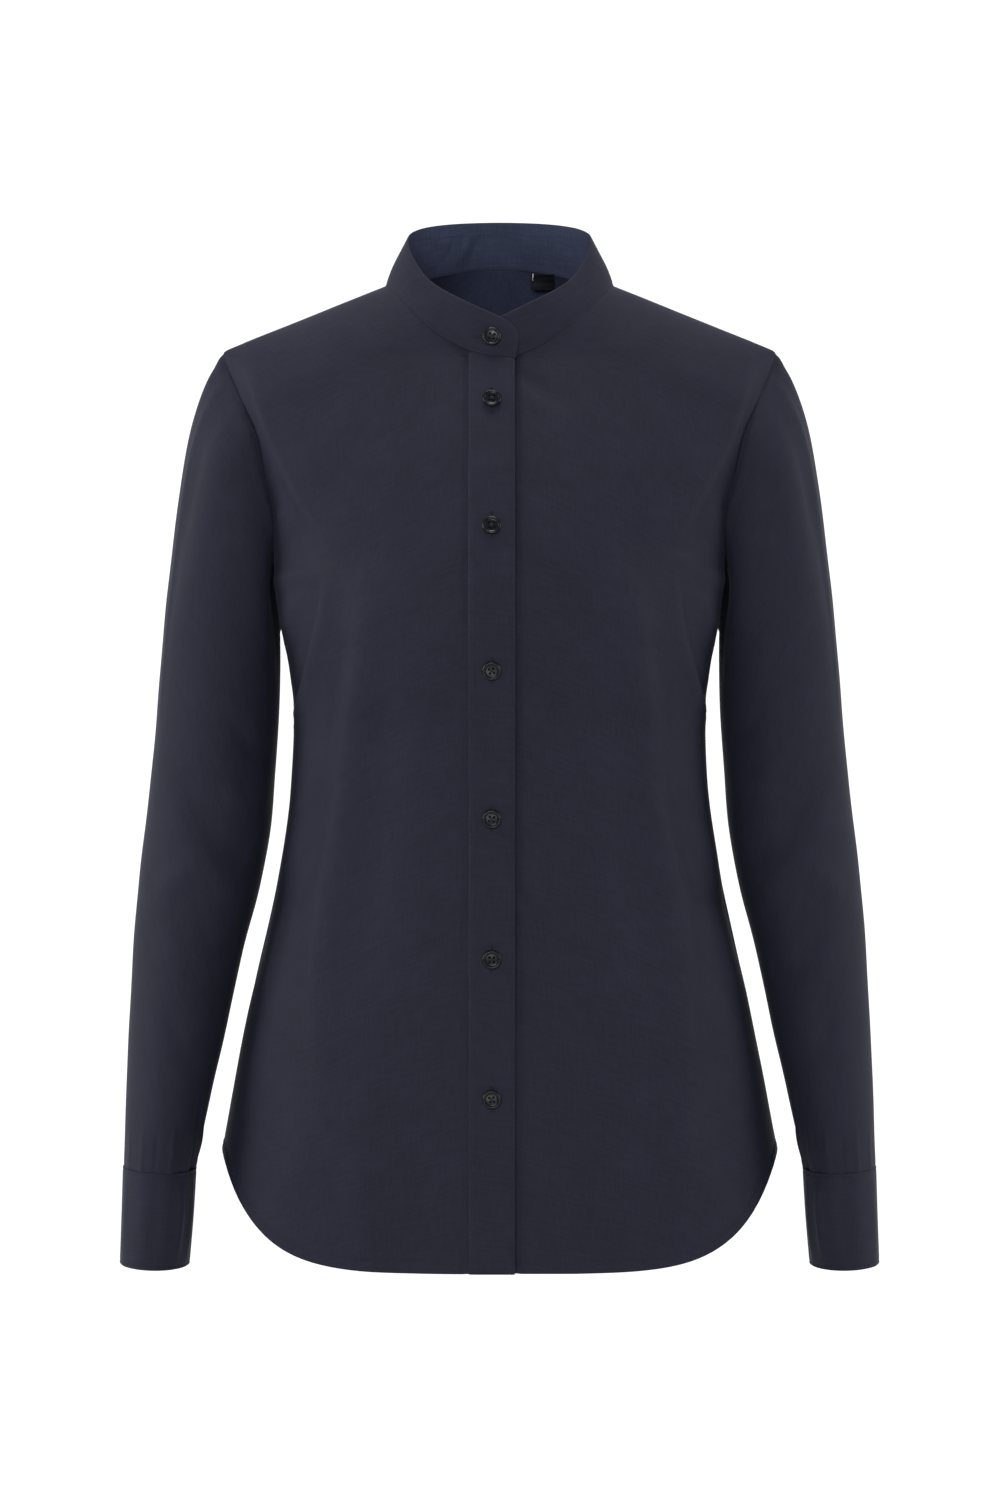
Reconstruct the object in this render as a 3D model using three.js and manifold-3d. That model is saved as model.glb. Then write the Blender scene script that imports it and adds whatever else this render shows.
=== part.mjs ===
// A women's mandarin collar shirt, size S, filled out as worn with nobody in it.
// Millimetres, +Z up, the front towards -Y, the wearer's left towards +X.
// The origin is the middle of the neck base, at the height of the side neck points.
import * as THREE from "three";
import { mergeVertices } from "three/addons/utils/BufferGeometryUtils.js";
import Module from "manifold-3d";

const wasm = await Module();
wasm.setup();

// Cloth
const WALL = 1.2; // thickness of every cloth wall
const EDGE_BACK = 0.2; // how far each edge stands back from its seam
const REST_GAP = 0.3; // between a piece and what it lies on
const LAYER = WALL + REST_GAP; // from one layer of cloth to the next

// Body
const NECK = { half: 78.5, drop: 49, dropPower: 2.4, rise: 13, risePower: 3.4 };
const SHOULDER = { slope: 0.4, neckBend: 0.0065, round: 48 };
const SECTION_POWER = 2.3; // of the superellipse that each level section follows
const HEM_CURVE = { reach: 5.8, corner: 1.15 }; // powers of the shirt-tail curve

// Closing: the placket runs from its stitched edge to the front's free edge
const PLACKET = { stitched: 20.4, free: 10, line: 5.2, tabFall: 1.2 };
const UNDERLAP = { reach: 20.4, flatTo: 12, easedBy: 60 };

// Collar
const RIM = { half: 63.5, front: 50, back: 46, bow: 0.8 };
const COLLAR_END = { over: 13.5, under: 17, corner: 9 };
const COLLAR_RAISE = 0.4; // of its lift, so that the lapped end clears the placket's top

// Buttons
const BUTTON = { radius: 6.4, thick: 2.6, rim: 1.3, dish: 0.7, bevel: 0.4, sides: 18 };
const BUTTON_HOLE = { radius: 0.9, spread: 1.55, sides: 6 };
const CUFF_BUTTON_SCALE = 0.86;
const BUTTONS = [
  { name: "button_collar", z: -35.8 },
  { name: "button_front_1", z: -78.3 },
  { name: "button_front_2", z: -163.2 },
  { name: "button_front_3", z: -259.6 },
  { name: "button_front_4", z: -359.8 },
  { name: "button_front_5", z: -454.6 },
  { name: "button_front_6", z: -548.9 },
];
const LABEL = { x: 31, z: 4.5, width: 14, height: 10, thick: 1 };

// Rows down the body. The first rows end on the neckline and the next on the centre line,
// where front and back give its height, and side gives the height of the side seam.
const NECK_ROWS = 4;
const ARM_ROWS = 9;
const CENTRE_ROWS = [
  { name: "neck", front: -49, back: 13 },
  { name: "upper chest", front: -88, back: -28 },
  { name: "chest", front: -128, back: -75 },
  { name: "armhole notch", front: -165, back: -122 },
  { name: "above underarm", front: -187, back: -165 },
  { name: "underarm", front: -203, back: -203, side: -203 },
  { name: "bust", front: -235, back: -235, side: -235 },
  { name: "under bust", front: -270, back: -270, side: -270 },
  { name: "waist", front: -306, back: -306, side: -306 },
  { name: "under waist", front: -350, back: -350, side: -350 },
  { name: "high hip", front: -405, back: -405, side: -400 },
  { name: "hip", front: -470, back: -472, side: -452 },
  { name: "low hip", front: -537, back: -541, side: -502 },
  { name: "above hem", front: -603, back: -611, side: -550 },
  { name: "hem", front: -667.5, back: -680, side: -595 },
];

// The armhole seam in front view, from the shoulder tip down to the underarm
const ARMHOLE = [
  { frontX: 190, frontZ: -44.6, backX: 190, backZ: -44.6 },
  { frontX: 186.8, frontZ: -57, backX: 187.5, backZ: -58 },
  { frontX: 180.5, frontZ: -72, backX: 184.5, backZ: -73 },
  { frontX: 173.5, frontZ: -87, backX: 181, backZ: -89 },
  { frontX: 164.5, frontZ: -103, backX: 177, backZ: -106 },
  { frontX: 157.6, frontZ: -128, backX: 171.5, backZ: -130 },
  { frontX: 152, frontZ: -152, backX: 165, backZ: -153 },
  { frontX: 148.6, frontZ: -172, backX: 159, backZ: -174 },
  { frontX: 150.4, frontZ: -189, backX: 155, backZ: -190 },
  { frontX: 153, frontZ: -203, backX: 153, backZ: -203 },
];

// Half width and depth of the level sections of the front and of the back
const FRONT_FORM = [
  { z: 10, half: 200, depth: 39 },
  { z: -22, half: 197, depth: 45.5 },
  { z: -45, half: 193, depth: 54 },
  { z: -57, half: 190, depth: 60.5 },
  { z: -87, half: 186, depth: 78 },
  { z: -103, half: 183, depth: 87 },
  { z: -128, half: 175, depth: 100 },
  { z: -152, half: 166, depth: 110.5 },
  { z: -172, half: 158.5, depth: 118.5 },
  { z: -189, half: 154, depth: 124 },
  { z: -203, half: 153, depth: 127.5 },
  { z: -235, half: 149.8, depth: 131 },
  { z: -270, half: 144, depth: 127 },
  { z: -306, half: 141.8, depth: 119 },
  { z: -350, half: 144.5, depth: 113.5 },
  { z: -400, half: 151.8, depth: 112 },
  { z: -452, half: 162.8, depth: 113 },
  { z: -502, half: 174, depth: 114 },
  { z: -550, half: 183.6, depth: 114 },
  { z: -595, half: 192, depth: 113 },
  { z: -680, half: 207, depth: 112 },
];
const BACK_FORM = [
  { z: 20, half: 200, depth: 50 },
  { z: -28, half: 196, depth: 71 },
  { z: -45, half: 193, depth: 79 },
  { z: -73, half: 189.5, depth: 92 },
  { z: -106, half: 191, depth: 103 },
  { z: -130, half: 189, depth: 108 },
  { z: -153, half: 181, depth: 111 },
  { z: -174, half: 167.5, depth: 113 },
  { z: -190, half: 157, depth: 113.5 },
  { z: -203, half: 153, depth: 113.5 },
  { z: -235, half: 149.8, depth: 110 },
  { z: -270, half: 144, depth: 102 },
  { z: -306, half: 141.8, depth: 95 },
  { z: -350, half: 144.5, depth: 93.5 },
  { z: -400, half: 151.8, depth: 99 },
  { z: -452, half: 162.8, depth: 107.5 },
  { z: -502, half: 174, depth: 114 },
  { z: -550, half: 183.6, depth: 118 },
  { z: -595, half: 192, depth: 120 },
  { z: -690, half: 208, depth: 122 },
];

// Sleeve sections from the armhole to the cuff seam: the outer and inner points in front view,
// how far back the middle lies, and half the depth from front to back
const SLEEVE_ROWS = [
  { outX: 190, outZ: -44.6, inX: 153, inZ: -203, y: 0, depth: 55 },
  { outX: 201.5, outZ: -64.5, inX: 153.9, inZ: -206.5, y: 1, depth: 58 },
  { outX: 210.5, outZ: -90, inX: 154.2, inZ: -212, y: 2, depth: 59.5 },
  { outX: 217.5, outZ: -123, inX: 153.8, inZ: -221, y: 3, depth: 59.5 },
  { outX: 223.5, outZ: -163, inX: 152.5, inZ: -235, y: 4, depth: 58.5 },
  { outX: 229.5, outZ: -212, inX: 151.7, inZ: -258, y: 6, depth: 57 },
  { outX: 234.5, outZ: -266, inX: 152.2, inZ: -291, y: 8, depth: 55 },
  { outX: 239.5, outZ: -320, inX: 155, inZ: -331, y: 10, depth: 53 },
  { outX: 244.5, outZ: -367, inX: 159, inZ: -376, y: 9.5, depth: 52 },
  { outX: 249.4, outZ: -409, inX: 166.5, inZ: -417, y: 7, depth: 51 },
  { outX: 253.3, outZ: -453, inX: 177.5, inZ: -460, y: 2, depth: 50 },
  { outX: 255.3, outZ: -500, inX: 187.5, inZ: -506, y: -5, depth: 48.5 },
  { outX: 257.3, outZ: -545, inX: 197.6, inZ: -549, y: -12, depth: 46.5 },
  { outX: 258.5, outZ: -583, inX: 205.6, inZ: -586, y: -18, depth: 44 },
  { outX: 259.2, outZ: -605, inX: 209.5, inZ: -606.5, y: -21.5, depth: 42.5 },
];
const ARMHOLE_SHARPEST = 0.1; // below this cosine the sleeve hangs beside the body at its seam
const SLEEVE_FADE = 4; // sections over which the armhole's own shape fades out
const CUFF_ROWS = [
  { outX: 259.6, outZ: -605.4, inX: 208.9, inZ: -606.9, y: -21.8, depth: 43 },
  { outX: 260.4, outZ: -638, inX: 210.7, inZ: -638.5, y: -26, depth: 42.5 },
  { outX: 261.4, outZ: -670, inX: 213.4, inZ: -671.5, y: -30, depth: 41.5 },
];
const CUFF_LAP = { start: 258, overlap: 27, eased: 30, buttonAt: 271 };

// The collar's upper edge: its height by the angle from the centre front, past it where it laps
const RIM_ROWS = [
  { angle: -14, z: -30 },
  { angle: 0, z: -22.3 },
  { angle: 17, z: -13.6 },
  { angle: 49, z: 3.1 },
  { angle: 70, z: 19 },
  { angle: 90, z: 31.6 },
  { angle: 128, z: 41.1 },
  { angle: 180, z: 44.9 },
];

// Largest folds of a body panel in front view: from, by and to points, half width and height.
// A height below nothing is a trough. side says which half has it.
const BODY_FOLDS = [
  { panel: "front", side: "both", path: [[165, -64], [153, -97], [149, -118]], width: 8, height: 2.6 },
  { panel: "front", side: "both", path: [[176, -62], [166, -84], [160, -100]], width: 5, height: -1.8 },
  { panel: "front", side: "both", path: [[138, -142], [127, -159], [117, -180]], width: 11, height: 2.8 },
  { panel: "front", side: "both", path: [[150, -205], [134, -199], [119, -204]], width: 7, height: -2 },
  { panel: "front", side: "both", path: [[119, -203], [122, -226], [129, -258], [139, -296]],
    width: 6, height: -2.2 },
  { panel: "front", side: "right", path: [[92, -215], [96, -290], [107, -326], [115, -360], [127, -391],
    [129, -446], [124, -556]], width: 15, height: 4.2 },
  { panel: "front", side: "left", path: [[94, -220], [98, -295], [106, -335], [116, -375], [126, -420],
    [127, -500], [125, -630]], width: 15, height: 4 },
  { panel: "front", side: "both", path: [[115, -356], [139, -385], [162, -450]], width: 11, height: -4 },
  { panel: "back", side: "both", path: [[160, -110], [146, -140], [138, -178]], width: 11, height: 3 },
  { panel: "back", side: "both", path: [[70, -230], [66, -300], [76, -380], [88, -470], [92, -600]],
    width: 17, height: 4.5 },
  { panel: "back", side: "right", path: [[112, -300], [128, -360], [146, -440]], width: 12, height: -4 },
  { panel: "back", side: "left", path: [[108, -310], [124, -372], [144, -462]], width: 13, height: -3.6 },
  { panel: "back", side: "both", path: [[0, -250], [0, -310], [0, -400]], width: 22, height: -3.5 },
];

// Largest folds of a sleeve, on its rolled-out tube: degrees round it from the outer edge
// by the front, and height. spread is the half width in degrees.
const SLEEVE_FOLDS = [
  { path: [[118, -128], [133, -165], [148, -200], [158, -232]], width: 13, height: -5.5 },
  { path: [[96, -140], [112, -178], [126, -222]], width: 12, height: 2.6 },
  { path: [[60, -330], [95, -372], [140, -392]], width: 14, height: -2.4 },
  { path: [[50, -420], [92, -398], [135, -420]], width: 12, height: 2 },
  { path: [[215, -300], [250, -352], [300, -368]], width: 14, height: -3 },
  { path: [[205, -170], [222, -210], [235, -260]], width: 13, height: -4 },
  { path: [[148, -540], [156, -575], [163, -604]], width: 8, height: -2.4 },
];
const SLEEVE_MM_PER_DEGREE = 0.85;

// How finely the solids are cut: places between table rows where points are taken
const NECK_STEPS = 6;
const LOWER_STEP = 0.5;
const HALF_COLUMNS = 12;
const SLEEVE_STEP = 0.75;
const COLLAR_TIERS = 3;

const COLOURS = { cloth: 0x2c2d3a, button: 0x15161c, label: 0x0e0f13 };

const radians = THREE.MathUtils.degToRad;
const lerp = THREE.MathUtils.lerp;
const clamp = THREE.MathUtils.clamp;

// From 0 to 1 between two places, level at both.
function ease(from, to, value) {
  const part = clamp((value - from) / (to - from), 0, 1);
  return part * part * (3 - 2 * part);
}

// A smooth curve through the columns of a table, against its key column.
function curve(rows, key, column) {
  const sorted = rows.map((row) => [row[key], row[column]]).sort((a, b) => a[0] - b[0]);
  const last = sorted.length - 1;
  const slopes = sorted.map((_, i) => {
    const before = sorted[Math.max(i - 1, 0)];
    const after = sorted[Math.min(i + 1, last)];
    return (after[1] - before[1]) / (after[0] - before[0]);
  });
  return (place) => {
    const at = clamp(place, sorted[0][0], sorted[last][0]);
    const i = Math.min(sorted.findLastIndex((row) => row[0] <= at), last - 1);
    const [x0, y0] = sorted[i];
    const [x1, y1] = sorted[i + 1];
    const span = x1 - x0;
    const t = (at - x0) / span;
    const rise = y1 - y0;
    const bend = (1 - t) * (slopes[i] * span - rise) + t * (rise - slopes[i + 1] * span);
    return y0 + rise * t + t * (1 - t) * bend;
  };
}

const numbered = (rows, first = 0) => rows.map((row, i) => ({ ...row, place: i + first }));
const centreRows = numbered(CENTRE_ROWS, NECK_ROWS);
const armRows = numbered(ARMHOLE);
const LAST_ROW = centreRows[centreRows.length - 1].place;
const sideHeight = curve(centreRows.filter((row) => row.side !== undefined), "place", "side");

const FRONT = {
  facing: -1,
  half: curve(FRONT_FORM, "z", "half"),
  depth: curve(FRONT_FORM, "z", "depth"),
  centre: curve(centreRows, "place", "front"),
  armX: curve(armRows, "place", "frontX"),
  armZ: curve(armRows, "place", "frontZ"),
  neckZ: (angle) => -NECK.drop * Math.abs(Math.cos(angle)) ** NECK.dropPower,
  folds: BODY_FOLDS.filter((fold) => fold.panel === "front"),
};
const BACK = {
  facing: 1,
  half: curve(BACK_FORM, "z", "half"),
  depth: curve(BACK_FORM, "z", "depth"),
  centre: curve(centreRows, "place", "back"),
  armX: curve(armRows, "place", "backX"),
  armZ: curve(armRows, "place", "backZ"),
  neckZ: (angle) => NECK.rise * Math.abs(Math.cos(angle)) ** NECK.risePower,
  folds: BODY_FOLDS.filter((fold) => fold.panel === "back"),
};

// Height of the shoulder line over a place across; inside the neck it runs on up.
function shoulderLine(x) {
  const inside = Math.max(NECK.half - x, 0);
  return SHOULDER.slope * (NECK.half - x) + SHOULDER.neckBend * inside ** 2;
}

// How full the body is below the shoulder line, which it rounds over.
function roundOver(x, z) {
  const part = clamp((shoulderLine(x) - z) / SHOULDER.round, 0, 1);
  return Math.sqrt(1 - (1 - part) ** 2);
}

// A point of the front or back: across runs from 0 at the centre to 1 at the side.
function bodyPoint(panel, across, z) {
  const part = Math.sin(Math.abs(across) * Math.PI / 2);
  const x = panel.half(z) * part;
  const bulge = (1 - part ** SECTION_POWER) ** (1 / SECTION_POWER);
  const y = panel.facing * panel.depth(z) * bulge * roundOver(x, z);
  return new THREE.Vector3(Math.sign(across) * x, y, z);
}

const acrossAt = (panel, x, z) => Math.asin(clamp(x / panel.half(z), -1, 1)) * 2 / Math.PI;

// The inner and outer ends of a row: how far across, and how high.
function rowEnds(panel, place) {
  const angle = radians(90 * Math.min(place / NECK_ROWS, 1));
  const onNeck = place < NECK_ROWS;
  const innerZ = onNeck ? panel.neckZ(Math.PI / 2 - angle) : panel.centre(place);
  const innerX = onNeck ? NECK.half * Math.cos(angle) : 0;
  const onArm = place < ARM_ROWS;
  const outerZ = onArm ? panel.armZ(place) : sideHeight(place);
  return {
    inner: [acrossAt(panel, innerX, innerZ), innerZ],
    outer: [onArm ? acrossAt(panel, panel.armX(place), outerZ) : 1, outerZ],
  };
}

// How much of a row's fall it has made at a part of its way out. The front's upper rows start level;
// the back's fall at once, because its neckline falls from the middle too.
function rowFall(panel, place, part, across) {
  if (place < ARM_ROWS) return panel === BACK ? part : part ** (1 + Math.min(place / NECK_ROWS, 1));
  const reach = Math.sin(across * Math.PI / 2);
  return 1 - (1 - reach ** HEM_CURVE.reach) ** HEM_CURVE.corner;
}

// A point of a row. The shoulder row runs straight; lower ones turn evenly round to the side.
function rowPoint(panel, place, part) {
  const { inner, outer } = rowEnds(panel, place);
  const turned = lerp(inner[0], outer[0], part);
  const z = lerp(inner[1], outer[1], rowFall(panel, place, part, turned));
  const ends = [inner, outer].map(([across, height]) => bodyPoint(panel, across, height).x);
  const straight = acrossAt(panel, lerp(ends[0], ends[1], part), z);
  return bodyPoint(panel, lerp(straight, turned, Math.min(place / ARM_ROWS, 1)), z);
}

// The part of the way out at which a row is a given distance from the middle.
function partAt(panel, place, x) {
  let [low, high] = [0, 1];
  for (let i = 0; i < 24; i += 1) {
    const middle = (low + high) / 2;
    if (rowPoint(panel, place, middle).x < x) low = middle;
    else high = middle;
  }
  return low;
}

// The rows where points are taken, shared by every piece that meets the body.
const upperPlaces = [];
for (let i = 0; i < NECK_STEPS; i += 1) upperPlaces.push(NECK_ROWS * i / NECK_STEPS);
for (let place = NECK_ROWS; place < ARM_ROWS; place += 1) upperPlaces.push(place);
const bodyPlaces = [...upperPlaces];
for (let place = ARM_ROWS; place <= LAST_ROW; place += LOWER_STEP) bodyPlaces.push(place);
const armPlaces = [...upperPlaces, ARM_ROWS];

// Parts of the way out where a front row has points; its second one is on the placket's stitching.
function frontParts(place) {
  const stitched = partAt(FRONT, Math.max(place, NECK_ROWS), PLACKET.stitched);
  const first = lerp(1 / HALF_COLUMNS, stitched, Math.min(place / NECK_ROWS, 1));
  const parts = [0];
  for (let j = 0; j < HALF_COLUMNS; j += 1) parts.push(lerp(first, 1, j / (HALF_COLUMNS - 1)));
  return parts;
}

// Distance from a point to a path, and how far along it that is.
function pathDistance(path, x, z) {
  let nearest = { distance: Infinity, along: 0 };
  for (let i = 0; i < path.length - 1; i += 1) {
    const [x0, z0] = path[i];
    const [dx, dz] = [path[i + 1][0] - x0, path[i + 1][1] - z0];
    const part = clamp(((x - x0) * dx + (z - z0) * dz) / (dx * dx + dz * dz), 0, 1);
    const distance = Math.hypot(x - x0 - dx * part, z - z0 - dz * part);
    if (distance < nearest.distance) nearest = { distance, along: (i + part) / (path.length - 1) };
  }
  return nearest;
}

// How far the folds lift the cloth at a place; each dies away at both of its ends.
function foldLift(folds, x, z) {
  return folds.reduce((sum, fold) => {
    const { distance, along } = pathDistance(fold.path, x, z);
    const fade = Math.sqrt(Math.sin(Math.PI * clamp(along, 0.02, 0.98)));
    return sum + fold.height * fade * Math.exp(-((distance / fold.width) ** 2));
  }, 0);
}

// A sheet of four-sided cells. Its numbers hold each row's points; a point that two columns share
// is held once. Faces go round so that flip turns the outside of a mirrored sheet back out.
class Sheet {
  constructor(rows, { ring = false, flip = false, present = () => true, shared = () => false } = {}) {
    this.points = [];
    this.numbers = rows.map((row, i) => {
      const numbersHere = [];
      row.forEach((point, j) => {
        if (j > 0 && shared(i, j)) numbersHere.push(numbersHere[j - 1]);
        else numbersHere.push(this.points.push(point) - 1);
      });
      return numbersHere;
    });
    this.cells = [];
    for (let i = 0; i < rows.length - 1; i += 1) {
      const columns = rows[i].length;
      for (let j = 0; j < columns - (ring ? 0 : 1); j += 1) {
        if (!present(i, j)) continue;
        const next = (j + 1) % columns;
        const [above, below] = [this.numbers[i], this.numbers[i + 1]];
        const cell = [above[j], above[next], below[next], below[j]];
        this.cells.push(flip ? cell : [cell[1], cell[0], cell[3], cell[2]]);
      }
    }
    this.findNormals();
  }

  findNormals() {
    this.normals = this.points.map(() => new THREE.Vector3());
    for (const cell of this.cells) {
      const [a, b, c, d] = cell.map((number) => this.points[number]);
      const normal = c.clone().sub(a).cross(d.clone().sub(b));
      for (const number of cell) this.normals[number].add(normal);
    }
    for (const normal of this.normals) normal.normalize();
  }

  // Moves each point out by the amount that lift gives for it.
  move(lift) {
    this.points.forEach((point, number) => point.addScaledVector(this.normals[number], lift(point)));
    this.findNormals();
    return this;
  }

  // The same points and directions, with only the cells in some rows and columns.
  cutOut(firstRow, lastColumn) {
    const part = Object.create(Sheet.prototype);
    part.points = this.points;
    part.normals = this.normals;
    part.numbers = this.numbers.slice(firstRow).map((row) => row.slice(0, lastColumn + 1));
    const kept = new Set(part.numbers.flat());
    part.cells = this.cells.filter((cell) => cell.every((number) => kept.has(number)));
    return part;
  }

  // Cell edges that no other cell shares, each with the cell's two points behind it.
  borders() {
    const edges = new Map();
    for (const cell of this.cells) {
      cell.forEach((from, i) => {
        const [to, behindTo, behindFrom] = [1, 2, 3].map((step) => cell[(i + step) % 4]);
        edges.set(`${from},${to}`, { from, to, behindTo, behindFrom });
      });
    }
    return [...edges.values()].filter(({ from, to }) => !edges.has(`${to},${from}`));
  }

  // The points, with each open edge drawn back from its seam.
  trimmed() {
    const behind = this.points.map(() => new Set());
    for (const edge of this.borders()) {
      behind[edge.from].add(edge.behindFrom);
      behind[edge.to].add(edge.behindTo);
    }
    return this.points.map((point, number) => {
      const result = point.clone();
      for (const other of behind[number]) {
        result.addScaledVector(this.points[other].clone().sub(point).normalize(), EDGE_BACK);
      }
      return result;
    });
  }
}

// Makes the walls of two pieces go in the same way along the seam that they share. Where the two
// hang side by side instead, the other one stands off by a small gap.
function mitre(sheet, number, otherSheet, otherNumber, sharpest = -0.8) {
  const own = sheet.normals[number];
  const other = otherSheet.normals[otherNumber];
  if (own.dot(other) < sharpest) {
    otherSheet.points[otherNumber].addScaledVector(own, REST_GAP);
    return;
  }
  const middle = own.clone().add(other).normalize();
  const reach = 1 / middle.dot(own);
  own.copy(middle).multiplyScalar(reach);
  other.copy(middle).multiplyScalar(reach);
}

function named(name, geometry, colour, roughness) {
  geometry.computeVertexNormals();
  const material = new THREE.MeshStandardMaterial({ color: colour, roughness, metalness: 0 });
  const mesh = new THREE.Mesh(geometry, material);
  mesh.name = name;
  return mesh;
}

// A closed wall of cloth on a sheet: its outer face this high over the sheet, and its thickness.
function clothWall(name, sheet, { colour = COLOURS.cloth, height = 0, thick = WALL } = {}) {
  const points = sheet.trimmed();
  const position = [];
  const layers = [height, height - thick].map((level) => {
    const places = new Map();
    return (number) => {
      if (!places.has(number)) {
        places.set(number, position.length / 3);
        position.push(...points[number].clone().addScaledVector(sheet.normals[number], level));
      }
      return places.get(number);
    };
  });
  const [outer, inner] = layers;
  const index = [];
  for (const [a, b, c, d] of sheet.cells) {
    index.push(outer(a), outer(b), outer(c), outer(a), outer(c), outer(d));
    index.push(inner(a), inner(c), inner(b), inner(a), inner(d), inner(c));
  }
  for (const { from, to } of sheet.borders()) {
    index.push(outer(from), inner(from), inner(to), outer(from), inner(to), outer(to));
  }
  const geometry = new THREE.BufferGeometry();
  geometry.setAttribute("position", new THREE.Float32BufferAttribute(position, 3));
  geometry.setIndex(index);
  return named(name, geometry, colour, 0.9);
}

// Wearer's side: -1 is the right, +1 the left.
const sideName = (side) => (side < 0 ? "right" : "left");
const mirrored = (point, side) => new THREE.Vector3(point.x * side, point.y, point.z);
const foldsOf = (panel, side) => panel.folds.filter((fold) => ["both", sideName(side)].includes(fold.side));

// The left front lies one layer in, beneath the placket, and comes out to its own level beyond it.
const underlapInset = (x) => LAYER * (1 - ease(UNDERLAP.flatTo, UNDERLAP.easedBy, x));

// One front; its first column is the edge beyond the centre line, which starts below the neckline.
function frontSheet(side) {
  const strip = side < 0 ? PLACKET.free : UNDERLAP.reach;
  const rows = bodyPlaces.map((place) => {
    const row = frontParts(place).map((part) => mirrored(rowPoint(FRONT, place, part), side));
    const z = FRONT.centre(Math.max(place, NECK_ROWS));
    const fall = side < 0 ? PLACKET.tabFall * (1 - ease(NECK_ROWS, NECK_ROWS + 1, place)) : 0;
    const edge = bodyPoint(FRONT, acrossAt(FRONT, strip, z - fall), z - fall);
    return [mirrored(edge, -side), ...row];
  });
  const present = (i, j) => j > 0 || bodyPlaces[i] >= NECK_ROWS;
  const sheet = new Sheet(rows, { flip: side < 0, present });
  const folds = foldsOf(FRONT, side);
  sheet.move((point) => foldLift(folds, point.x * side, point.z));
  if (side > 0) sheet.move((point) => -underlapInset(point.x));
  return sheet;
}

// The back: two halves that share their middle points below the neckline.
function backSheet() {
  const rows = bodyPlaces.map((place) => {
    const half = [];
    for (let j = 0; j <= HALF_COLUMNS; j += 1) half.push(rowPoint(BACK, place, j / HALF_COLUMNS));
    return [...half.map((point) => mirrored(point, -1)).reverse(), ...half];
  });
  const middle = HALF_COLUMNS;
  const sheet = new Sheet(rows, {
    flip: true,
    present: (i, j) => j !== middle,
    shared: (i, j) => j === middle + 1 && bodyPlaces[i] >= NECK_ROWS,
  });
  return sheet.move((point) => {
    const side = point.x < 0 ? -1 : 1;
    return foldLift(foldsOf(BACK, side), point.x * side, point.z);
  });
}

// Sleeves and cuffs: one table column by the section's place, in between too
function tube(table) {
  const rows = numbered(table);
  const columns = ["outX", "outZ", "inX", "inZ", "y", "depth"];
  const curves = Object.fromEntries(columns.map((column) => [column, curve(rows, "place", column)]));
  return (place, angle) => {
    const at = (column) => curves[column](place);
    const along = (1 + Math.cos(angle)) / 2;
    return new THREE.Vector3(
      lerp(at("inX"), at("outX"), along),
      at("y") - at("depth") * Math.sin(angle),
      lerp(at("inZ"), at("outZ"), along),
    );
  };
}

const sleevePoint = tube(SLEEVE_ROWS);
const cuffPoint = tube(CUFF_ROWS);

// The armhole seam as a ring from the tip down the front and up the back, with each point's
// angle round the sleeve by its share of the way down its side.
function armholeRing() {
  const half = (panel) => {
    const points = armPlaces.map((place) => rowPoint(panel, place, 1));
    const lengths = points.map((point, i) => (i ? point.distanceTo(points[i - 1]) : 0));
    const total = lengths.reduce((sum, length) => sum + length);
    let gone = 0;
    return points.map((point, i) => {
      gone += lengths[i];
      return { point, angle: Math.PI * gone / total };
    });
  };
  const back = half(BACK).slice(1, -1).reverse();
  return [...half(FRONT), ...back.map(({ point, angle }) => ({ point, angle: 2 * Math.PI - angle }))];
}

const armhole = armholeRing();
const sleeveFolds = SLEEVE_FOLDS.map((fold) => ({
  ...fold,
  path: fold.path.map(([angle, z]) => [angle * SLEEVE_MM_PER_DEGREE, z]),
}));

function sleeveSheet(side) {
  const last = SLEEVE_ROWS.length - 1;
  const count = Math.round(last / SLEEVE_STEP);
  const rows = [];
  for (let i = 0; i <= count; i += 1) {
    const place = last * i / count;
    const fade = Math.max(1 - place / SLEEVE_FADE, 0) ** 2;
    rows.push(armhole.map(({ point, angle }) => {
      const own = point.clone().sub(sleevePoint(0, angle)).multiplyScalar(fade);
      return own.add(sleevePoint(place, angle));
    }));
  }
  const degrees = armhole.map(({ angle }) => THREE.MathUtils.radToDeg(angle));
  const lifts = rows.map((row) => row.map((point, j) => {
    const round = degrees[j] * SLEEVE_MM_PER_DEGREE;
    return foldLift(sleeveFolds, round, point.z);
  }));
  const sheet = new Sheet(rows.map((row) => row.map((point) => mirrored(point, side))),
    { ring: true, flip: side > 0 });
  const lift = lifts.flat();
  lift.forEach((amount, number) => {
    if (number >= armhole.length) sheet.points[number].addScaledVector(sheet.normals[number], amount);
  });
  sheet.findNormals();
  return sheet;
}

// A cuff is a band that goes once round and laps over its own start at the back.
function cuffSheet(side) {
  const { start, overlap, eased } = CUFF_LAP;
  const end = start + 360 + overlap;
  const steps = Math.round((end - start) / 15);
  const angles = Array.from({ length: steps + 1 }, (_, i) => lerp(start, end, i / steps));
  const lastTier = CUFF_ROWS.length - 1;
  const rows = CUFF_ROWS.map((_, tier) => angles.map((angle) => {
    const point = cuffPoint(tier, radians(angle));
    const middle = cuffPoint(tier, 0).add(cuffPoint(tier, Math.PI)).multiplyScalar(0.5);
    const under = 1 - ease(start + overlap, start + overlap + eased, angle);
    return mirrored(point.add(middle.sub(point).normalize().multiplyScalar(LAYER * under)), side);
  }));
  return new Sheet(rows, { flip: side > 0 });
}

const rimHeight = curve(RIM_ROWS, "angle", "z");

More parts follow.
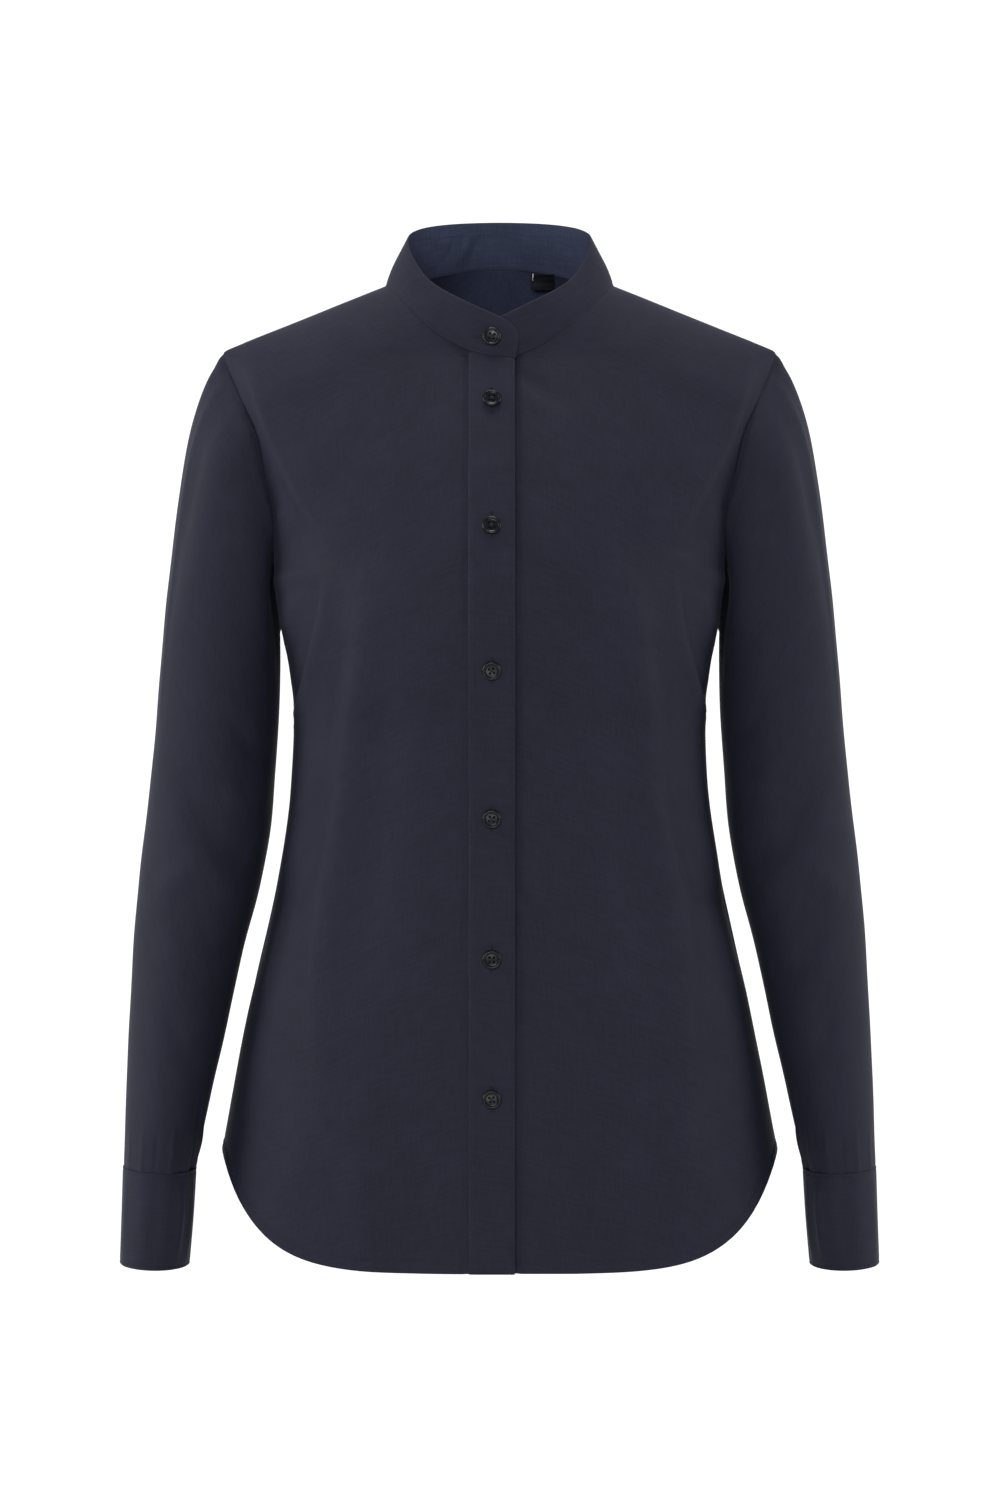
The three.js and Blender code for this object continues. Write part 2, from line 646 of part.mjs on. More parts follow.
// The collar: its columns go from the right end, which lies on top, round the back to the left end.
// beyond is how far a column lies past the centre front; the others stand at an angle from it.
function collarColumns() {
  const ends = (reach) => [0, 2, 6].map((in_) => ({ beyond: reach - in_, fromEnd: in_ }));
  const step = 90 / NECK_STEPS;
  const right = [];
  for (let angle = 0; angle <= 180; angle += step) right.push({ side: -1, angle });
  const left = right.slice(0, -1).map(({ angle }) => ({ side: 1, angle })).reverse();
  const over = ends(COLLAR_END.over).map((end) => ({ side: -1, ...end }));
  const under = ends(COLLAR_END.under).map((end) => ({ side: 1, ...end })).reverse();
  return [...over, ...right, ...left, ...under];
}

function collarColumn({ side, angle, beyond, fromEnd }) {
  const turn = (half) => (beyond === undefined ? radians(angle) : -Math.asin(beyond / half));
  const low = turn(NECK.half);
  const high = turn(RIM.half);
  const panel = Math.cos(low) > 0 ? FRONT : BACK;
  const x = NECK.half * Math.sin(low);
  const past = side < 0 ? Math.max(-x, 0) : 0;
  const z = past > 0 ? -NECK.drop - PLACKET.tabFall * past / PLACKET.free : panel.neckZ(low);
  const base = bodyPoint(panel, acrossAt(panel, x, z), z);
  const rimDepth = Math.cos(high) > 0 ? RIM.front : RIM.back;
  const rim = new THREE.Vector3(RIM.half * Math.sin(high), -rimDepth * Math.cos(high),
    rimHeight(THREE.MathUtils.radToDeg(high)));
  const tall = rim.distanceTo(base);
  const away = COLLAR_END.corner - (fromEnd ?? COLLAR_END.corner);
  const dropped = away > 0 ? COLLAR_END.corner - Math.sqrt(COLLAR_END.corner ** 2 - away ** 2) : 0;
  const lapped = side < 0 ? LAYER * (1 - ease(PLACKET.stitched, UNDERLAP.easedBy, x)) : -underlapInset(x);
  const lift = panel === FRONT ? lapped : 0;
  base.z += COLLAR_RAISE * Math.max(lift, 0);
  const out = new THREE.Vector3(Math.sin(low), -Math.cos(low), 0);
  const column = [];
  for (let tier = 0; tier <= COLLAR_TIERS; tier += 1) {
    const part = tier / COLLAR_TIERS * (1 - dropped / tall);
    const bow = 4 * RIM.bow * part * (1 - part);
    const point = base.clone().lerp(rim, part).addScaledVector(out, lift + bow);
    column.push(mirrored(point, side));
  }
  return column;
}

function collarSheet() {
  const columns = collarColumns().map(collarColumn);
  const rows = columns[0].map((_, tier) => columns.map((column) => column[tier]));
  return new Sheet(rows, { flip: false });
}

// A four-hole button, its back at z = 0: a turned disc with a raised rim, drilled through.
function buttonGeometry(scale) {
  const { radius, thick, rim, dish, bevel, sides } = BUTTON;
  const profile = [
    [0, 0], [radius - bevel, 0], [radius, thick / 2], [radius - bevel, thick],
    [radius - rim, thick], [radius - rim - dish, thick - dish], [0, thick - dish],
  ];
  const disc = solid(new THREE.LatheGeometry(profile.map(([r, z]) => new THREE.Vector2(r, z)), sides)
    .rotateX(Math.PI / 2));
  let drilled = disc;
  for (let i = 0; i < 4; i += 1) {
    const turn = Math.PI / 4 + i * Math.PI / 2;
    const bore = new THREE.CylinderGeometry(BUTTON_HOLE.radius, BUTTON_HOLE.radius, 3 * thick,
      BUTTON_HOLE.sides).rotateX(Math.PI / 2);
    bore.translate(BUTTON_HOLE.spread * Math.cos(turn), BUTTON_HOLE.spread * Math.sin(turn), 0);
    drilled = drilled.subtract(solid(bore));
  }
  return meshOf(drilled).scale(scale, scale, scale);
}

function solid(geometry) {
  geometry.deleteAttribute("normal");
  geometry.deleteAttribute("uv");
  const merged = mergeVertices(geometry, 1e-4);
  const vertProperties = new Float32Array(merged.attributes.position.array);
  const triVerts = new Uint32Array(merged.index.array);
  return new wasm.Manifold(new wasm.Mesh({ numProp: 3, vertProperties, triVerts }));
}

function meshOf(manifold) {
  const mesh = manifold.getMesh();
  const geometry = new THREE.BufferGeometry();
  geometry.setAttribute("position", new THREE.BufferAttribute(new Float32Array(mesh.vertProperties), 3));
  geometry.setIndex(new THREE.BufferAttribute(new Uint32Array(mesh.triVerts), 1));
  return geometry;
}

const RAY_START = 60; // how far out from the cloth the rays below start
const FOOTPRINT = [-1, -0.5, 0, 0.5, 1]; // places across half a footprint where it is tried

// Where a flat round or square thing lies on a cloth wall: the first touch of its footprint,
// coming in along a direction, and a little clear of it.
function seatOn(wall, centre, normal, halfWide, halfHigh) {
  const across = new THREE.Vector3(0, 0, 1).cross(normal).normalize();
  const up = normal.clone().cross(across);
  const high = centre.clone().addScaledVector(normal, RAY_START);
  let nearest = Infinity;
  for (const u of FOOTPRINT) {
    for (const v of FOOTPRINT) {
      const from = high.clone().addScaledVector(across, u * halfWide).addScaledVector(up, v * halfHigh);
      const [hit] = new THREE.Raycaster(from, normal.clone().negate()).intersectObject(wall);
      if (hit) nearest = Math.min(nearest, hit.distance);
    }
  }
  const seat = high.addScaledVector(normal, REST_GAP - nearest);
  const turn = new THREE.Matrix4().makeBasis(across, up, normal);
  return { seat, turn };
}

// A small part laid on a wall where a ray to a place, along a direction, meets it first.
function placedOn(name, geometry, wall, place, direction, { colour, halfWide, halfHigh }) {
  const from = place.clone().addScaledVector(direction, -RAY_START);
  const [hit] = new THREE.Raycaster(from, direction).intersectObject(wall);
  const { seat, turn } = seatOn(wall, hit.point, hit.face.normal, halfWide, halfHigh);
  const mesh = named(name, geometry, colour, 0.35);
  mesh.position.copy(seat);
  mesh.quaternion.setFromRotationMatrix(turn);
  return mesh;
}

const BACKWARDS = new THREE.Vector3(0, 1, 0);
const FORWARDS = new THREE.Vector3(0, -1, 0);

const model = new THREE.Group();
const back = backSheet();
const fronts = { right: frontSheet(-1), left: frontSheet(1) };
const sleeves = { right: sleeveSheet(-1), left: sleeveSheet(1) };

// Along each armhole the body and the sleeve are mitred.
const lastArmRow = armPlaces.length - 1;
for (const [name, side] of [["right", -1], ["left", 1]]) {
  armhole.forEach((_, k) => {
    const onFront = k <= lastArmRow;
    const body = onFront ? fronts[name] : back;
    const row = body.numbers[onFront ? k : armhole.length - k];
    const number = onFront || side > 0 ? row[row.length - 1] : row[0];
    mitre(body, number, sleeves[name], sleeves[name].numbers[0][k], ARMHOLE_SHARPEST);
  });
}

// Along each shoulder seam the front and the back are mitred.
for (const [name, side] of [["right", -1], ["left", 1]]) {
  for (let j = 0; j <= HALF_COLUMNS; j += 1) {
    const backColumn = side < 0 ? HALF_COLUMNS - j : HALF_COLUMNS + 1 + j;
    mitre(fronts[name], fronts[name].numbers[0][j + 1], back, back.numbers[0][backColumn]);
  }
}

const placketSheet = fronts.right.cutOut(bodyPlaces.indexOf(NECK_ROWS), 2);
const placket = clothWall("placket", placketSheet, { height: LAYER });
const collar = clothWall("collar_band", collarSheet());
model.add(clothWall("front_right", fronts.right), clothWall("front_left", fronts.left));
model.add(clothWall("back", back), placket, collar);

// The bare label hangs inside the back, just below the collar seam.
const backWall = model.getObjectByName("back");
const labelForm = new THREE.BoxGeometry(LABEL.width, LABEL.height, LABEL.thick)
  .translate(0, 0, LABEL.thick / 2);
model.add(placedOn("neck_label", meshOf(solid(labelForm)), backWall,
  new THREE.Vector3(LABEL.x, RAY_START, LABEL.z), BACKWARDS,
  { colour: COLOURS.label, halfWide: LABEL.width / 2, halfHigh: LABEL.height / 2 }));

for (const [name, side] of [["right", -1], ["left", 1]]) {
  model.add(clothWall(`sleeve_${name}`, sleeves[name]));
  const cuff = clothWall(`cuff_${name}`, cuffSheet(side));
  model.add(cuff);
  const at = mirrored(cuffPoint(1, radians(CUFF_LAP.buttonAt)), side);
  const half = BUTTON.radius * CUFF_BUTTON_SCALE;
  model.add(placedOn(`cuff_button_${name}`, buttonGeometry(CUFF_BUTTON_SCALE), cuff, at,
    FORWARDS, { colour: COLOURS.button, halfWide: half, halfHigh: half }));
}

for (const { name, z } of BUTTONS) {
  const wall = name === "button_collar" ? collar : placket;
  const place = new THREE.Vector3(-PLACKET.line, -FRONT.depth(z) - BUTTON.thick, z);
  model.add(placedOn(name, buttonGeometry(1), wall, place, BACKWARDS,
    { colour: COLOURS.button, halfWide: BUTTON.radius, halfHigh: BUTTON.radius }));
}

export default model;
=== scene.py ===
# A women's mandarin collar shirt in dark navy cotton poplin, size S, filled out as worn.
# Tables are in millimetres and the meshes in metres, the front towards -Y, +Z up.
import math

import bpy
import numpy as np
from mathutils import Matrix, Vector


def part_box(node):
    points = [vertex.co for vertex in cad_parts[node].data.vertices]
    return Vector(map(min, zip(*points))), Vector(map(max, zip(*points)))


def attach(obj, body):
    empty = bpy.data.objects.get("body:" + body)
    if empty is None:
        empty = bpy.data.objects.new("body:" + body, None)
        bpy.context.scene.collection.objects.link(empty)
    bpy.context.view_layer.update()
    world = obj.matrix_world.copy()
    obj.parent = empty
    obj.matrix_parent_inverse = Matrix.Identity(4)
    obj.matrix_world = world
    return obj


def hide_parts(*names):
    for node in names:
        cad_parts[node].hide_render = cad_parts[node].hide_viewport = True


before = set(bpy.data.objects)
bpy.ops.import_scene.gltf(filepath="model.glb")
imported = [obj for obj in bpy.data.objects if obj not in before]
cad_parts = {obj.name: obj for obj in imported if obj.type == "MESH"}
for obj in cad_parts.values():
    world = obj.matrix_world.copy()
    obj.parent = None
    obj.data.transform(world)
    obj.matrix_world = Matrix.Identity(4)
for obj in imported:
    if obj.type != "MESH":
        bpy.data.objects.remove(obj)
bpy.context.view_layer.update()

MM = 0.001

# Camera: straight in front of the shirt's middle, a little above it
CAMERA = {"distance": 4.0, "elevation": 3.0, "middle": (0.0003, 0.0, -0.3195), "lens": 139.0,
          "sensor": 36}
FLOOR_Z = -1.35
WALL_Y = 6.0


def table(columns, rows):
    """A short table as one dictionary for each row."""
    return [dict(zip(columns.split(), row)) for row in rows]


# Cloth. Its sizes are the solids', but for its thickness, the front armhole seam, which lies up to
# 6 mm further out to close on the sleeve, the collar tab, which narrows to its base, and the dips
# beside the placket. A cut edge is rounded by a share of the thickness.
THICK = {"cloth": 0.8, "collar": 1.2, "cuff": 1.2, "placket": 1.25, "label": 0.35}
EDGE_ROUND = 0.4
LAYER = 1.5
STAND_HEIGHT = 1.3
STAND_GROOVE = {"at": 21.6, "depth": 1.2, "width": 1.6}
NECK = {"half": 78.5, "drop": 49, "drop_power": 2.4, "rise": 13, "rise_power": 3.4}
SHOULDER = {"slope": 0.4, "neck_bend": 0.0065, "round": 48}
SECTION_POWER = 2.3
HEM_CURVE = {"reach": 5.8, "corner": 1.15}
PLACKET = {"stitched": 20.4, "free": 10, "tab_fall": 1.2}
UNDERLAP = {"reach": 20.4, "flat_to": 12, "eased_by": 60}
UNDERLAP_HOLLOW = {"at": 11.2, "depth": 2.5, "width": 2.2}
RIM = {"half": 63.5, "front": 50, "back": 46, "bow": 0.8}
COLLAR_END = {"over": 13.5, "base": 10.5, "under": 17, "corner": 9}
COLLAR_RAISE = 0.4
CUFF_LAP = {"start": 258, "overlap": 27, "eased": 30}

# Rows down the body: the first end on the neckline, the next on the centre line.
# Where side is given, it is the height of the side seam.
NECK_ROWS = 4
ARM_ROWS = 9
CENTRE_ROWS = table("place front back side", [
    (4, -49, 13, None),
    (5, -88, -28, None),
    (6, -128, -75, None),
    (7, -165, -122, None),
    (8, -187, -165, None),
    (9, -203, -203, -203),
    (10, -235, -235, -235),
    (11, -270, -270, -270),
    (12, -306, -306, -306),
    (13, -350, -350, -350),
    (14, -405, -405, -400),
    (15, -470, -472, -452),
    (16, -537, -541, -502),
    (17, -603, -611, -550),
    (18, -667.5, -680, -595),
])
LAST_ROW = 18

# The armhole seam in front view, from the shoulder tip down to the underarm
ARMHOLE = table("place front_x front_z back_x back_z", [
    (0, 190, -44.6, 190, -44.6),
    (1, 186.8, -57, 187.5, -58),
    (2, 180.5, -72, 184.5, -73),
    (3, 173.5, -87, 181, -89),
    (4, 166.5, -103, 177, -106),
    (5, 162, -128, 171.5, -130),
    (6, 158, -152, 165, -153),
    (7, 154.5, -172, 159, -174),
    (8, 152.6, -189, 155, -190),
    (9, 153, -203, 153, -203),
])

# Half width and depth of the level sections of the front and of the back
FRONT_FORM = table("z half depth", [
    (10, 200, 39),
    (-22, 197, 45.5),
    (-45, 193, 54),
    (-57, 190, 60.5),
    (-87, 186, 78),
    (-103, 183, 87),
    (-128, 175, 100),
    (-152, 166, 110.5),
    (-172, 158.5, 118.5),
    (-189, 154, 124),
    (-203, 153, 127.5),
    (-235, 149.8, 131),
    (-270, 144, 127),
    (-306, 141.8, 119),
    (-350, 144.5, 113.5),
    (-400, 151.8, 112),
    (-452, 162.8, 113),
    (-502, 174, 114),
    (-550, 183.6, 114),
    (-595, 192, 113),
    (-680, 207, 112),
])
BACK_FORM = table("z half depth", [
    (20, 200, 50),
    (-28, 196, 71),
    (-45, 193, 79),
    (-73, 189.5, 92),
    (-106, 191, 103),
    (-130, 189, 108),
    (-153, 181, 111),
    (-174, 167.5, 113),
    (-190, 157, 113.5),
    (-203, 153, 113.5),
    (-235, 149.8, 110),
    (-270, 144, 102),
    (-306, 141.8, 95),
    (-350, 144.5, 93.5),
    (-400, 151.8, 99),
    (-452, 162.8, 107.5),
    (-502, 174, 114),
    (-550, 183.6, 118),
    (-595, 192, 120),
    (-690, 208, 122),
])

# Sleeve and cuff sections: outer and inner points, how far back the middle lies, half the depth
SLEEVE_ROWS = table("place out_x out_z in_x in_z y depth", [
    (0, 190, -44.6, 153, -203, 0, 55),
    (1, 201.5, -64.5, 153.9, -206.5, 1, 58),
    (2, 210.5, -90, 154.2, -212, 2, 59.5),
    (3, 217.5, -123, 153.8, -221, 3, 59.5),
    (4, 223.5, -163, 152.5, -235, 4, 58.5),
    (5, 229.5, -212, 151.7, -258, 6, 57),
    (6, 234.5, -266, 152.2, -291, 8, 55),
    (7, 239.5, -320, 155, -331, 10, 53),
    (8, 244.5, -367, 159, -376, 9.5, 52),
    (9, 249.4, -409, 166.5, -417, 7, 51),
    (10, 253.3, -453, 177.5, -460, 2, 50),
    (11, 255.3, -500, 187.5, -506, -5, 48.5),
    (12, 257.3, -545, 197.6, -549, -12, 46.5),
    (13, 258.5, -583, 205.6, -586, -18, 44),
    (14, 259.2, -605, 209.5, -606.5, -21.5, 42.5),
])
SLEEVE_FADE = 4
SLEEVE_MM_PER_DEGREE = 0.85
CUFF_ROWS = table("place out_x out_z in_x in_z y depth", [
    (0, 259.6, -605.4, 208.9, -606.9, -21.8, 43),
    (1, 260.4, -638, 210.7, -638.5, -26, 42.5),
    (2, 261.4, -670, 213.4, -671.5, -30, 41.5),
])
# The collar's rim by the angle from the centre front; the last row makes it level at the back
RIM_ROWS = table("angle z", [
    (-14, -30),
    (0, -22.3),
    (17, -13.6),
    (49, 3.1),
    (70, 19),
    (90, 31.6),
    (128, 41.1),
    (180, 44.9),
    (232, 41.1),
])

# Buttons: radius and height from the back round the rim to the dished face, and the four holes
BUTTON_PROFILE = [
    (0, 0), (5.5, 0), (6.1, 0.4), (6.4, 1.1), (6.35, 1.7), (6.0, 2.3), (5.5, 2.58), (5.0, 2.5),
    (4.6, 2.2), (4.25, 1.9), (3.6, 1.78), (0, 1.74),
]
BUTTON_HOLE = {"radius": 0.9, "spread": 2.05}
BUTTON_SIDES = 44
BUTTON_SHARP = 50
DRILL = {"from": -1, "to": 4, "sides": 14}
CUFF_BUTTON_SCALE = 0.86
BUTTONS = ["button_collar"] + [f"button_front_{number}" for number in range(1, 7)]

# The thread between a button's holes: how far its runs lie apart, and its height over the face
THREAD = {"radius": 0.26, "beside": 0.22, "top": 2.25, "fall": 1.9, "sunk": 0.43, "points": 9, "flatness": 6}

TUBE_SIDES = 6

# How finely the cloth is cut
NECK_STEPS = 6
ARM_STEPS = 9
LOWER_STEPS = 21
HEM_PARTS = (0.88, 0.905, 0.925, 0.94, 0.955, 0.97, 0.98, 0.99, 1.0)
FRONT_COLUMNS = 84
BACK_COLUMNS = 66
EDGE_PARTS = (0.0, 0.004, 0.008, 0.013, 0.019, 0.026, 0.034)
STRIP_COLUMNS = 6
SLEEVE_STEPS = 12
SLEEVE_FIRST = (0, 0.02, 0.04)
CUFF_COLUMNS = 150
CUFF_PLACES = [0, 0.015, 0.03, 0.045, 0.06, 0.08, *np.linspace(0.12, 1.88, 20),
               1.92, 1.94, 1.955, 1.97, 1.985, 2]
COLLAR_TIERS = 30
COLLAR_STEP = {"degrees": 1.5, "end": 0.75}
PLACKET_COLUMNS = 44
PLACKET_ROWS = 260
PATH_STEPS = 8

# Folds of the body in front view: the points that one runs through, the half width of its
# inner and outer flank, and its height. A height below nothing is a trough.
BODY_FOLDS = table("panel side width height path", [
    # the roll beside the armhole, down to the bust, and the hollows outside it
    ("front", "right", (20, 8), 3.9,
     [(172, -52), (160, -88), (144, -121), (131, -147), (119, -168), (115.5, -187)]),
    ("front", "left", (20, 8), 3.9, [(171, -52), (159, -100), (142, -130), (125, -161), (117, -180)]),
    ("front", "right", (5, 4), 1.5, [(170, -62), (160, -92), (148, -122), (134, -146), (121, -168)]),
    ("front", "left", (5, 4), 1.5, [(169, -62), (158, -100), (143, -130), (128, -158), (119, -176)]),
    ("front", "both", (5, 4), -1.8, [(181, -62), (170, -90), (159, -118), (155, -142)]),
    ("front", "both", (6, 6), -1.6, [(155, -135), (147, -160), (141, -185)]),
    # the side that fills out towards the sleeve
    ("front", "both", (8, 5), 4.5, [(149, -150), (148, -180), (147, -208), (146, -234)]),
    # the drag line from the underarm
    ("front", "right", (4, 7), 1.8, [(152, -203), (139, -196.5), (127, -195), (118, -199)]),
    ("front", "left", (4, 7), 1.7, [(155, -203), (142, -197), (125, -187), (114, -184)]),
    # the slanting bust dart, its fold and its seam
    ("front", "right", (8, 3), 3.6, [(118, -200), (121.8, -228), (128.7, -257), (139, -293)]),
    ("front", "right", (2.5, 4), -2.1, [(121.5, -202), (125.5, -229), (132.5, -258), (142, -290)]),
    ("front", "left", (8, 3), 3.6, [(119, -198), (124, -235), (131, -263), (140, -291)]),
    ("front", "left", (2.5, 4), -2.1, [(122.5, -200), (127.5, -236), (134.5, -264), (143, -289)]),
    ("front", "both", (4, 4), 1.5, [(139, -212), (143, -231), (145, -248)]),
    ("front", "both", (4, 4), -1.3, [(133, -220), (137, -240), (140, -258)]),
    ("front", "both", (6, 6), -1.8, [(104, -240), (111, -288), (117, -322)]),
    # the long fold from under the bust to the hip, and the trough beside it
    ("front", "right", (17, 9), 4.6,
     [(92.8, -205), (93, -244), (96.5, -276), (103.5, -321), (111, -370), (118.3, -414),
      (122.5, -450), (124.5, -490), (122, -524), (120.4, -560)]),
    ("front", "left", (17, 9), 4.4,
     [(91, -208), (96.3, -252), (102, -290), (106, -335), (117, -396), (125, -451),
      (126.6, -495), (125.2, -550), (127.3, -620)]),
    ("front", "right", (9, 9), -4.2, [(118, -335), (122, -356), (133, -395), (149.4, -432), (160, -470)]),
    ("front", "left", (9, 9), -4.2, [(112, -330), (120, -357), (136, -401), (153, -432), (163, -470)]),
    ("front", "both", (4, 5), 2.2, [(151, -425), (157, -451), (162, -482)]),
    ("front", "both", (16, 16), -1.8, [(74, -240), (78, -320), (88, -400), (98, -480)]),
    ("front", "right", (14, 14), 2, [(100, -560), (96, -610), (93, -662)]),
    ("front", "left", (13, 15), 1.8, [(84, -570), (80, -610), (82, -664)]),
    ("front", "both", (18, 18), -1.5, [(58, -530), (56, -600), (60, -664)]),
    ("front", "both", (11, 8), -2.1, [(148, -520), (152, -560), (150, -610)]),
    # small puckers beside the placket
    ("front", "left", (4, 4), -1.3, [(11, -56), (20, -64), (34, -68)]),
    ("front", "left", (5, 5), -1.1, [(14, -62), (30, -74), (52, -78)]),
    ("front", "left", (3, 4), -1.1, [(11, -222), (16, -232), (25, -237)]),
    ("front", "left", (3, 4), -1.3, [(11, -404), (17, -419), (27, -428)]),
    ("front", "left", (3, 4), -1, [(11, -128), (17, -136), (27, -139)]),
    ("front", "right", (4, 4), -0.8, [(22, -255), (30, -262), (42, -262)]),
    ("front", "right", (4, 4), -0.8, [(22, -452), (31, -461), (44, -463)]),
    # the back: beside the armholes, down the waist and across it
    ("back", "both", (11, 11), 4.2, [(160, -110), (146, -140), (138, -178)]),
    ("back", "both", (17, 17), 6.3, [(70, -230), (66, -300), (76, -380), (88, -470), (92, -600)]),
    ("back", "right", (12, 12), -5.6, [(112, -300), (128, -360), (146, -440)]),
    ("back", "left", (13, 13), -5, [(108, -310), (124, -372), (144, -462)]),
    ("back", "both", (22, 22), -4.9, [(0, -250), (0, -310), (0, -400)]),
    ("back", "right", (6, 9), 2.4, [(150, -203), (130, -212), (100, -224)]),
    ("back", "left", (6, 9), 2.1, [(151, -206), (128, -218), (96, -236)]),
    ("back", "both", (8, 8), -2.4, [(178, -70), (168, -100), (160, -140)]),
    ("back", "right", (7, 8), -2.1, [(44, -292), (86, -306), (122, -300)]),
    ("back", "right", (7, 8), 1.8, [(38, -318), (82, -330), (124, -322)]),
    ("back", "left", (7, 8), -2, [(50, -300), (90, -316), (126, -312)]),
    ("back", "left", (7, 8), 1.7, [(34, -326), (76, -342), (118, -336)]),
    ("back", "both", (18, 18), -2.2, [(36, -440), (34, -520), (38, -640)]),
    ("back", "both", (14, 14), 2, [(140, -470), (148, -530), (146, -600)]),
])

# Folds of a sleeve on its rolled-out tube: degrees round it from the outer edge by the front,
# and height. The second flank is the one towards the body.
SLEEVE_FOLDS = table("side width height path", [
    # the hollow beside the body
    ("both", (5, 7), -1.6, [(146, -150), (154, -180), (160, -210), (164, -240), (166, -270)]),
    # the slack behind it that closes the view between sleeve and body
    ("both", (12, 12), 7, [(206, -170), (205, -204), (204, -240)]),
    # the roll in front of the hollow
    ("both", (18, 11), 6.5, [(100, -128), (118, -160), (130, -195), (138, -238)]),
    # the pressed crease down the outer arm
    ("both", (2.5, 4), 1.4, [(20, -62), (26, -110), (28, -170), (26, -230), (24, -300)]),
    ("both", (14, 14), 1.8, [(55, -92), (60, -130), (58, -170), (48, -215), (38, -270), (36, -350)]),
    ("both", (6, 6), -1.2, [(38, -85), (42, -130), (42, -170)]),
    # slack at the elbow and down the forearm
    ("both", (14, 14), -3.1, [(60, -330), (95, -372), (140, -392)]),
    ("both", (12, 12), 2.6, [(50, -420), (92, -398), (135, -420)]),
    ("right", (7, 7), -2.1, [(108, -300), (130, -318), (160, -322)]),
    ("left", (7, 7), -2, [(104, -288), (128, -302), (158, -310)]),
    ("right", (7, 7), 1.7, [(104, -345), (128, -353), (160, -348)]),
    ("left", (7, 7), 1.7, [(100, -330), (126, -342), (160, -340)]),
    ("right", (8, 8), -1.7, [(98, -440), (125, -455), (152, -452)]),
    ("left", (8, 8), -1.8, [(90, -452), (118, -470), (148, -468)]),
    ("both", (9, 9), -1.6, [(80, -500), (108, -522), (140, -518)]),
    ("both", (14, 14), -3.9, [(215, -300), (250, -352), (300, -368)]),
    ("both", (13, 13), -5.2, [(205, -170), (222, -210), (235, -260)]),
    ("both", (11, 11), 2.3, [(200, -330), (240, -392), (290, -410)]),
    ("both", (9, 9), -2, [(210, -430), (245, -455), (285, -462)]),
    # the tuck at the inside of the cuff seam
    ("both", (6, 6), -3.1, [(148, -556), (156, -582), (163, -612)]),
    ("both", (4, 4), 1.8, [(168, -578), (173, -594), (178, -614)]),
])
# Gathers above the cuff: degrees round the sleeve, and height
GATHERS = [(34, 0.7), (62, 1.0), (84, -0.8), (108, 1.1), (128, -0.9), (205, 1.0), (232, -0.9),
           (262, 1.1), (292, -0.8), (318, 0.9)]
SLEEVE_FOLDS += table("side width height path", [
    ("both", (3.2, 3.2), height, [(at, -578), (at + 3, -594), (at + 1, -616)]) for at, height in GATHERS
])

# Folds of a cuff, in the same way
CUFF_FOLDS = table("side width height path", [
    ("both", (9, 9), -1.6, [(88, -608), (92, -640), (88, -676)]),
    ("both", (4.5, 4.5), 2.1, [(130, -613), (133, -636), (130, -664)]),
    ("both", (4, 4), 1.3, [(158, -612), (160, -640), (156, -666)]),
    ("both", (7, 7), 1.1, [(35, -608), (33, -640), (36, -676)]),
    ("both", (9, 9), -1.3, [(222, -608), (226, -640), (222, -676)]),
])
CUFF_MM_PER_DEGREE = 0.6

# Slanting wrinkles of the collar: millimetres round it from the centre back, and up from its seam
COLLAR_FOLDS = table("side width height path", [
    ("both", (4, 4), 1.3, [(-80, 26), (-70, 18), (-62, 8)]),
    ("both", (4, 3), -1.1, [(-34, 28), (-39, 18), (-46, 6)]),
    ("both", (4, 4), 1.1, [(-22, 26), (-27, 17), (-31, 8)]),
    ("both", (3, 4), 0.9, [(8, 27), (4, 18), (1, 9)]),
    ("both", (4, 4), -0.9, [(34, 26), (30, 16), (27, 8)]),
    ("both", (4, 4), 1.1, [(64, 26), (58, 16), (54, 6)]),
    ("both", (3, 4), 1.0, [(22, 28), (17, 17), (13, 8)]),
    ("both", (3, 3), -0.9, [(46, 28), (41, 17), (37, 8)]),
    ("both", (3, 4), 1.0, [(-53, 28), (-58, 17), (-63, 8)]),
    ("both", (6, 6), 0.6, [(110, 24), (120, 14), (128, 4)]),
    ("both", (6, 6), 0.5, [(-112, 25), (-120, 15), (-130, 5)]),
])
COLLAR_MM_PER_DEGREE = 1.37

# Faint creases across the placket
PLACKET_FOLDS = table("side width height path", [
    ("both", (1.6, 1.6), -0.35, [(-16, -244), (5, -245), (26, -244)]),
    ("both", (2.5, 2.5), -0.35, [(-12, -333), (4, -331), (20, -334)]),
    ("both", (4, 4), 0.4, [(-10, -120), (4, -124), (22, -121)]),
    ("both", (4, 4), 0.35, [(-10, -420), (4, -416), (22, -421)]),
])

# Unevenness of cloth that hangs free: its height, and for two crossing waves how fast each turns
# across and down, and where it starts. Each piece takes it at another place.
DRAPE = table("height first second", [
    (0.42, (1 / 13, 1 / 31, 0.4), (-1 / 60, 1 / 47, 1.1)),
    (0.2, (1 / 8.5, -1 / 22, 2.0), (1 / 37, 1 / 19, 0)),
])
DRAPE_PLACE = {"front": 40, "back": -25, "sleeve": 60}
DRAPE_FROM_PLACKET = (24, 60)
SLEEVE_DRAPE = {"share": 0.8, "closer": 1.3}

# Sewing: the stitches, how far their lines run from the edge and how high they lie on the cloth
STITCH = {"pitch": 2.8, "length": 1.9, "width": 0.36, "height": 0.3}
BUTTONHOLE_STITCH = {"pitch": 0.5, "length": 0.3, "width": 1.15, "height": 0.42}
BUTTONHOLE = {"length": 18.0, "width": 1.5, "over": 0.1, "end_points": 7, "side_points": 20,
              "collar_shift": 3.5, "first_drop": 2.0}
STITCH_OVER = 0.05
HEM_WIDTH = 6.5
EDGE_STITCH = 1.6
RIM_STITCH = 8.5

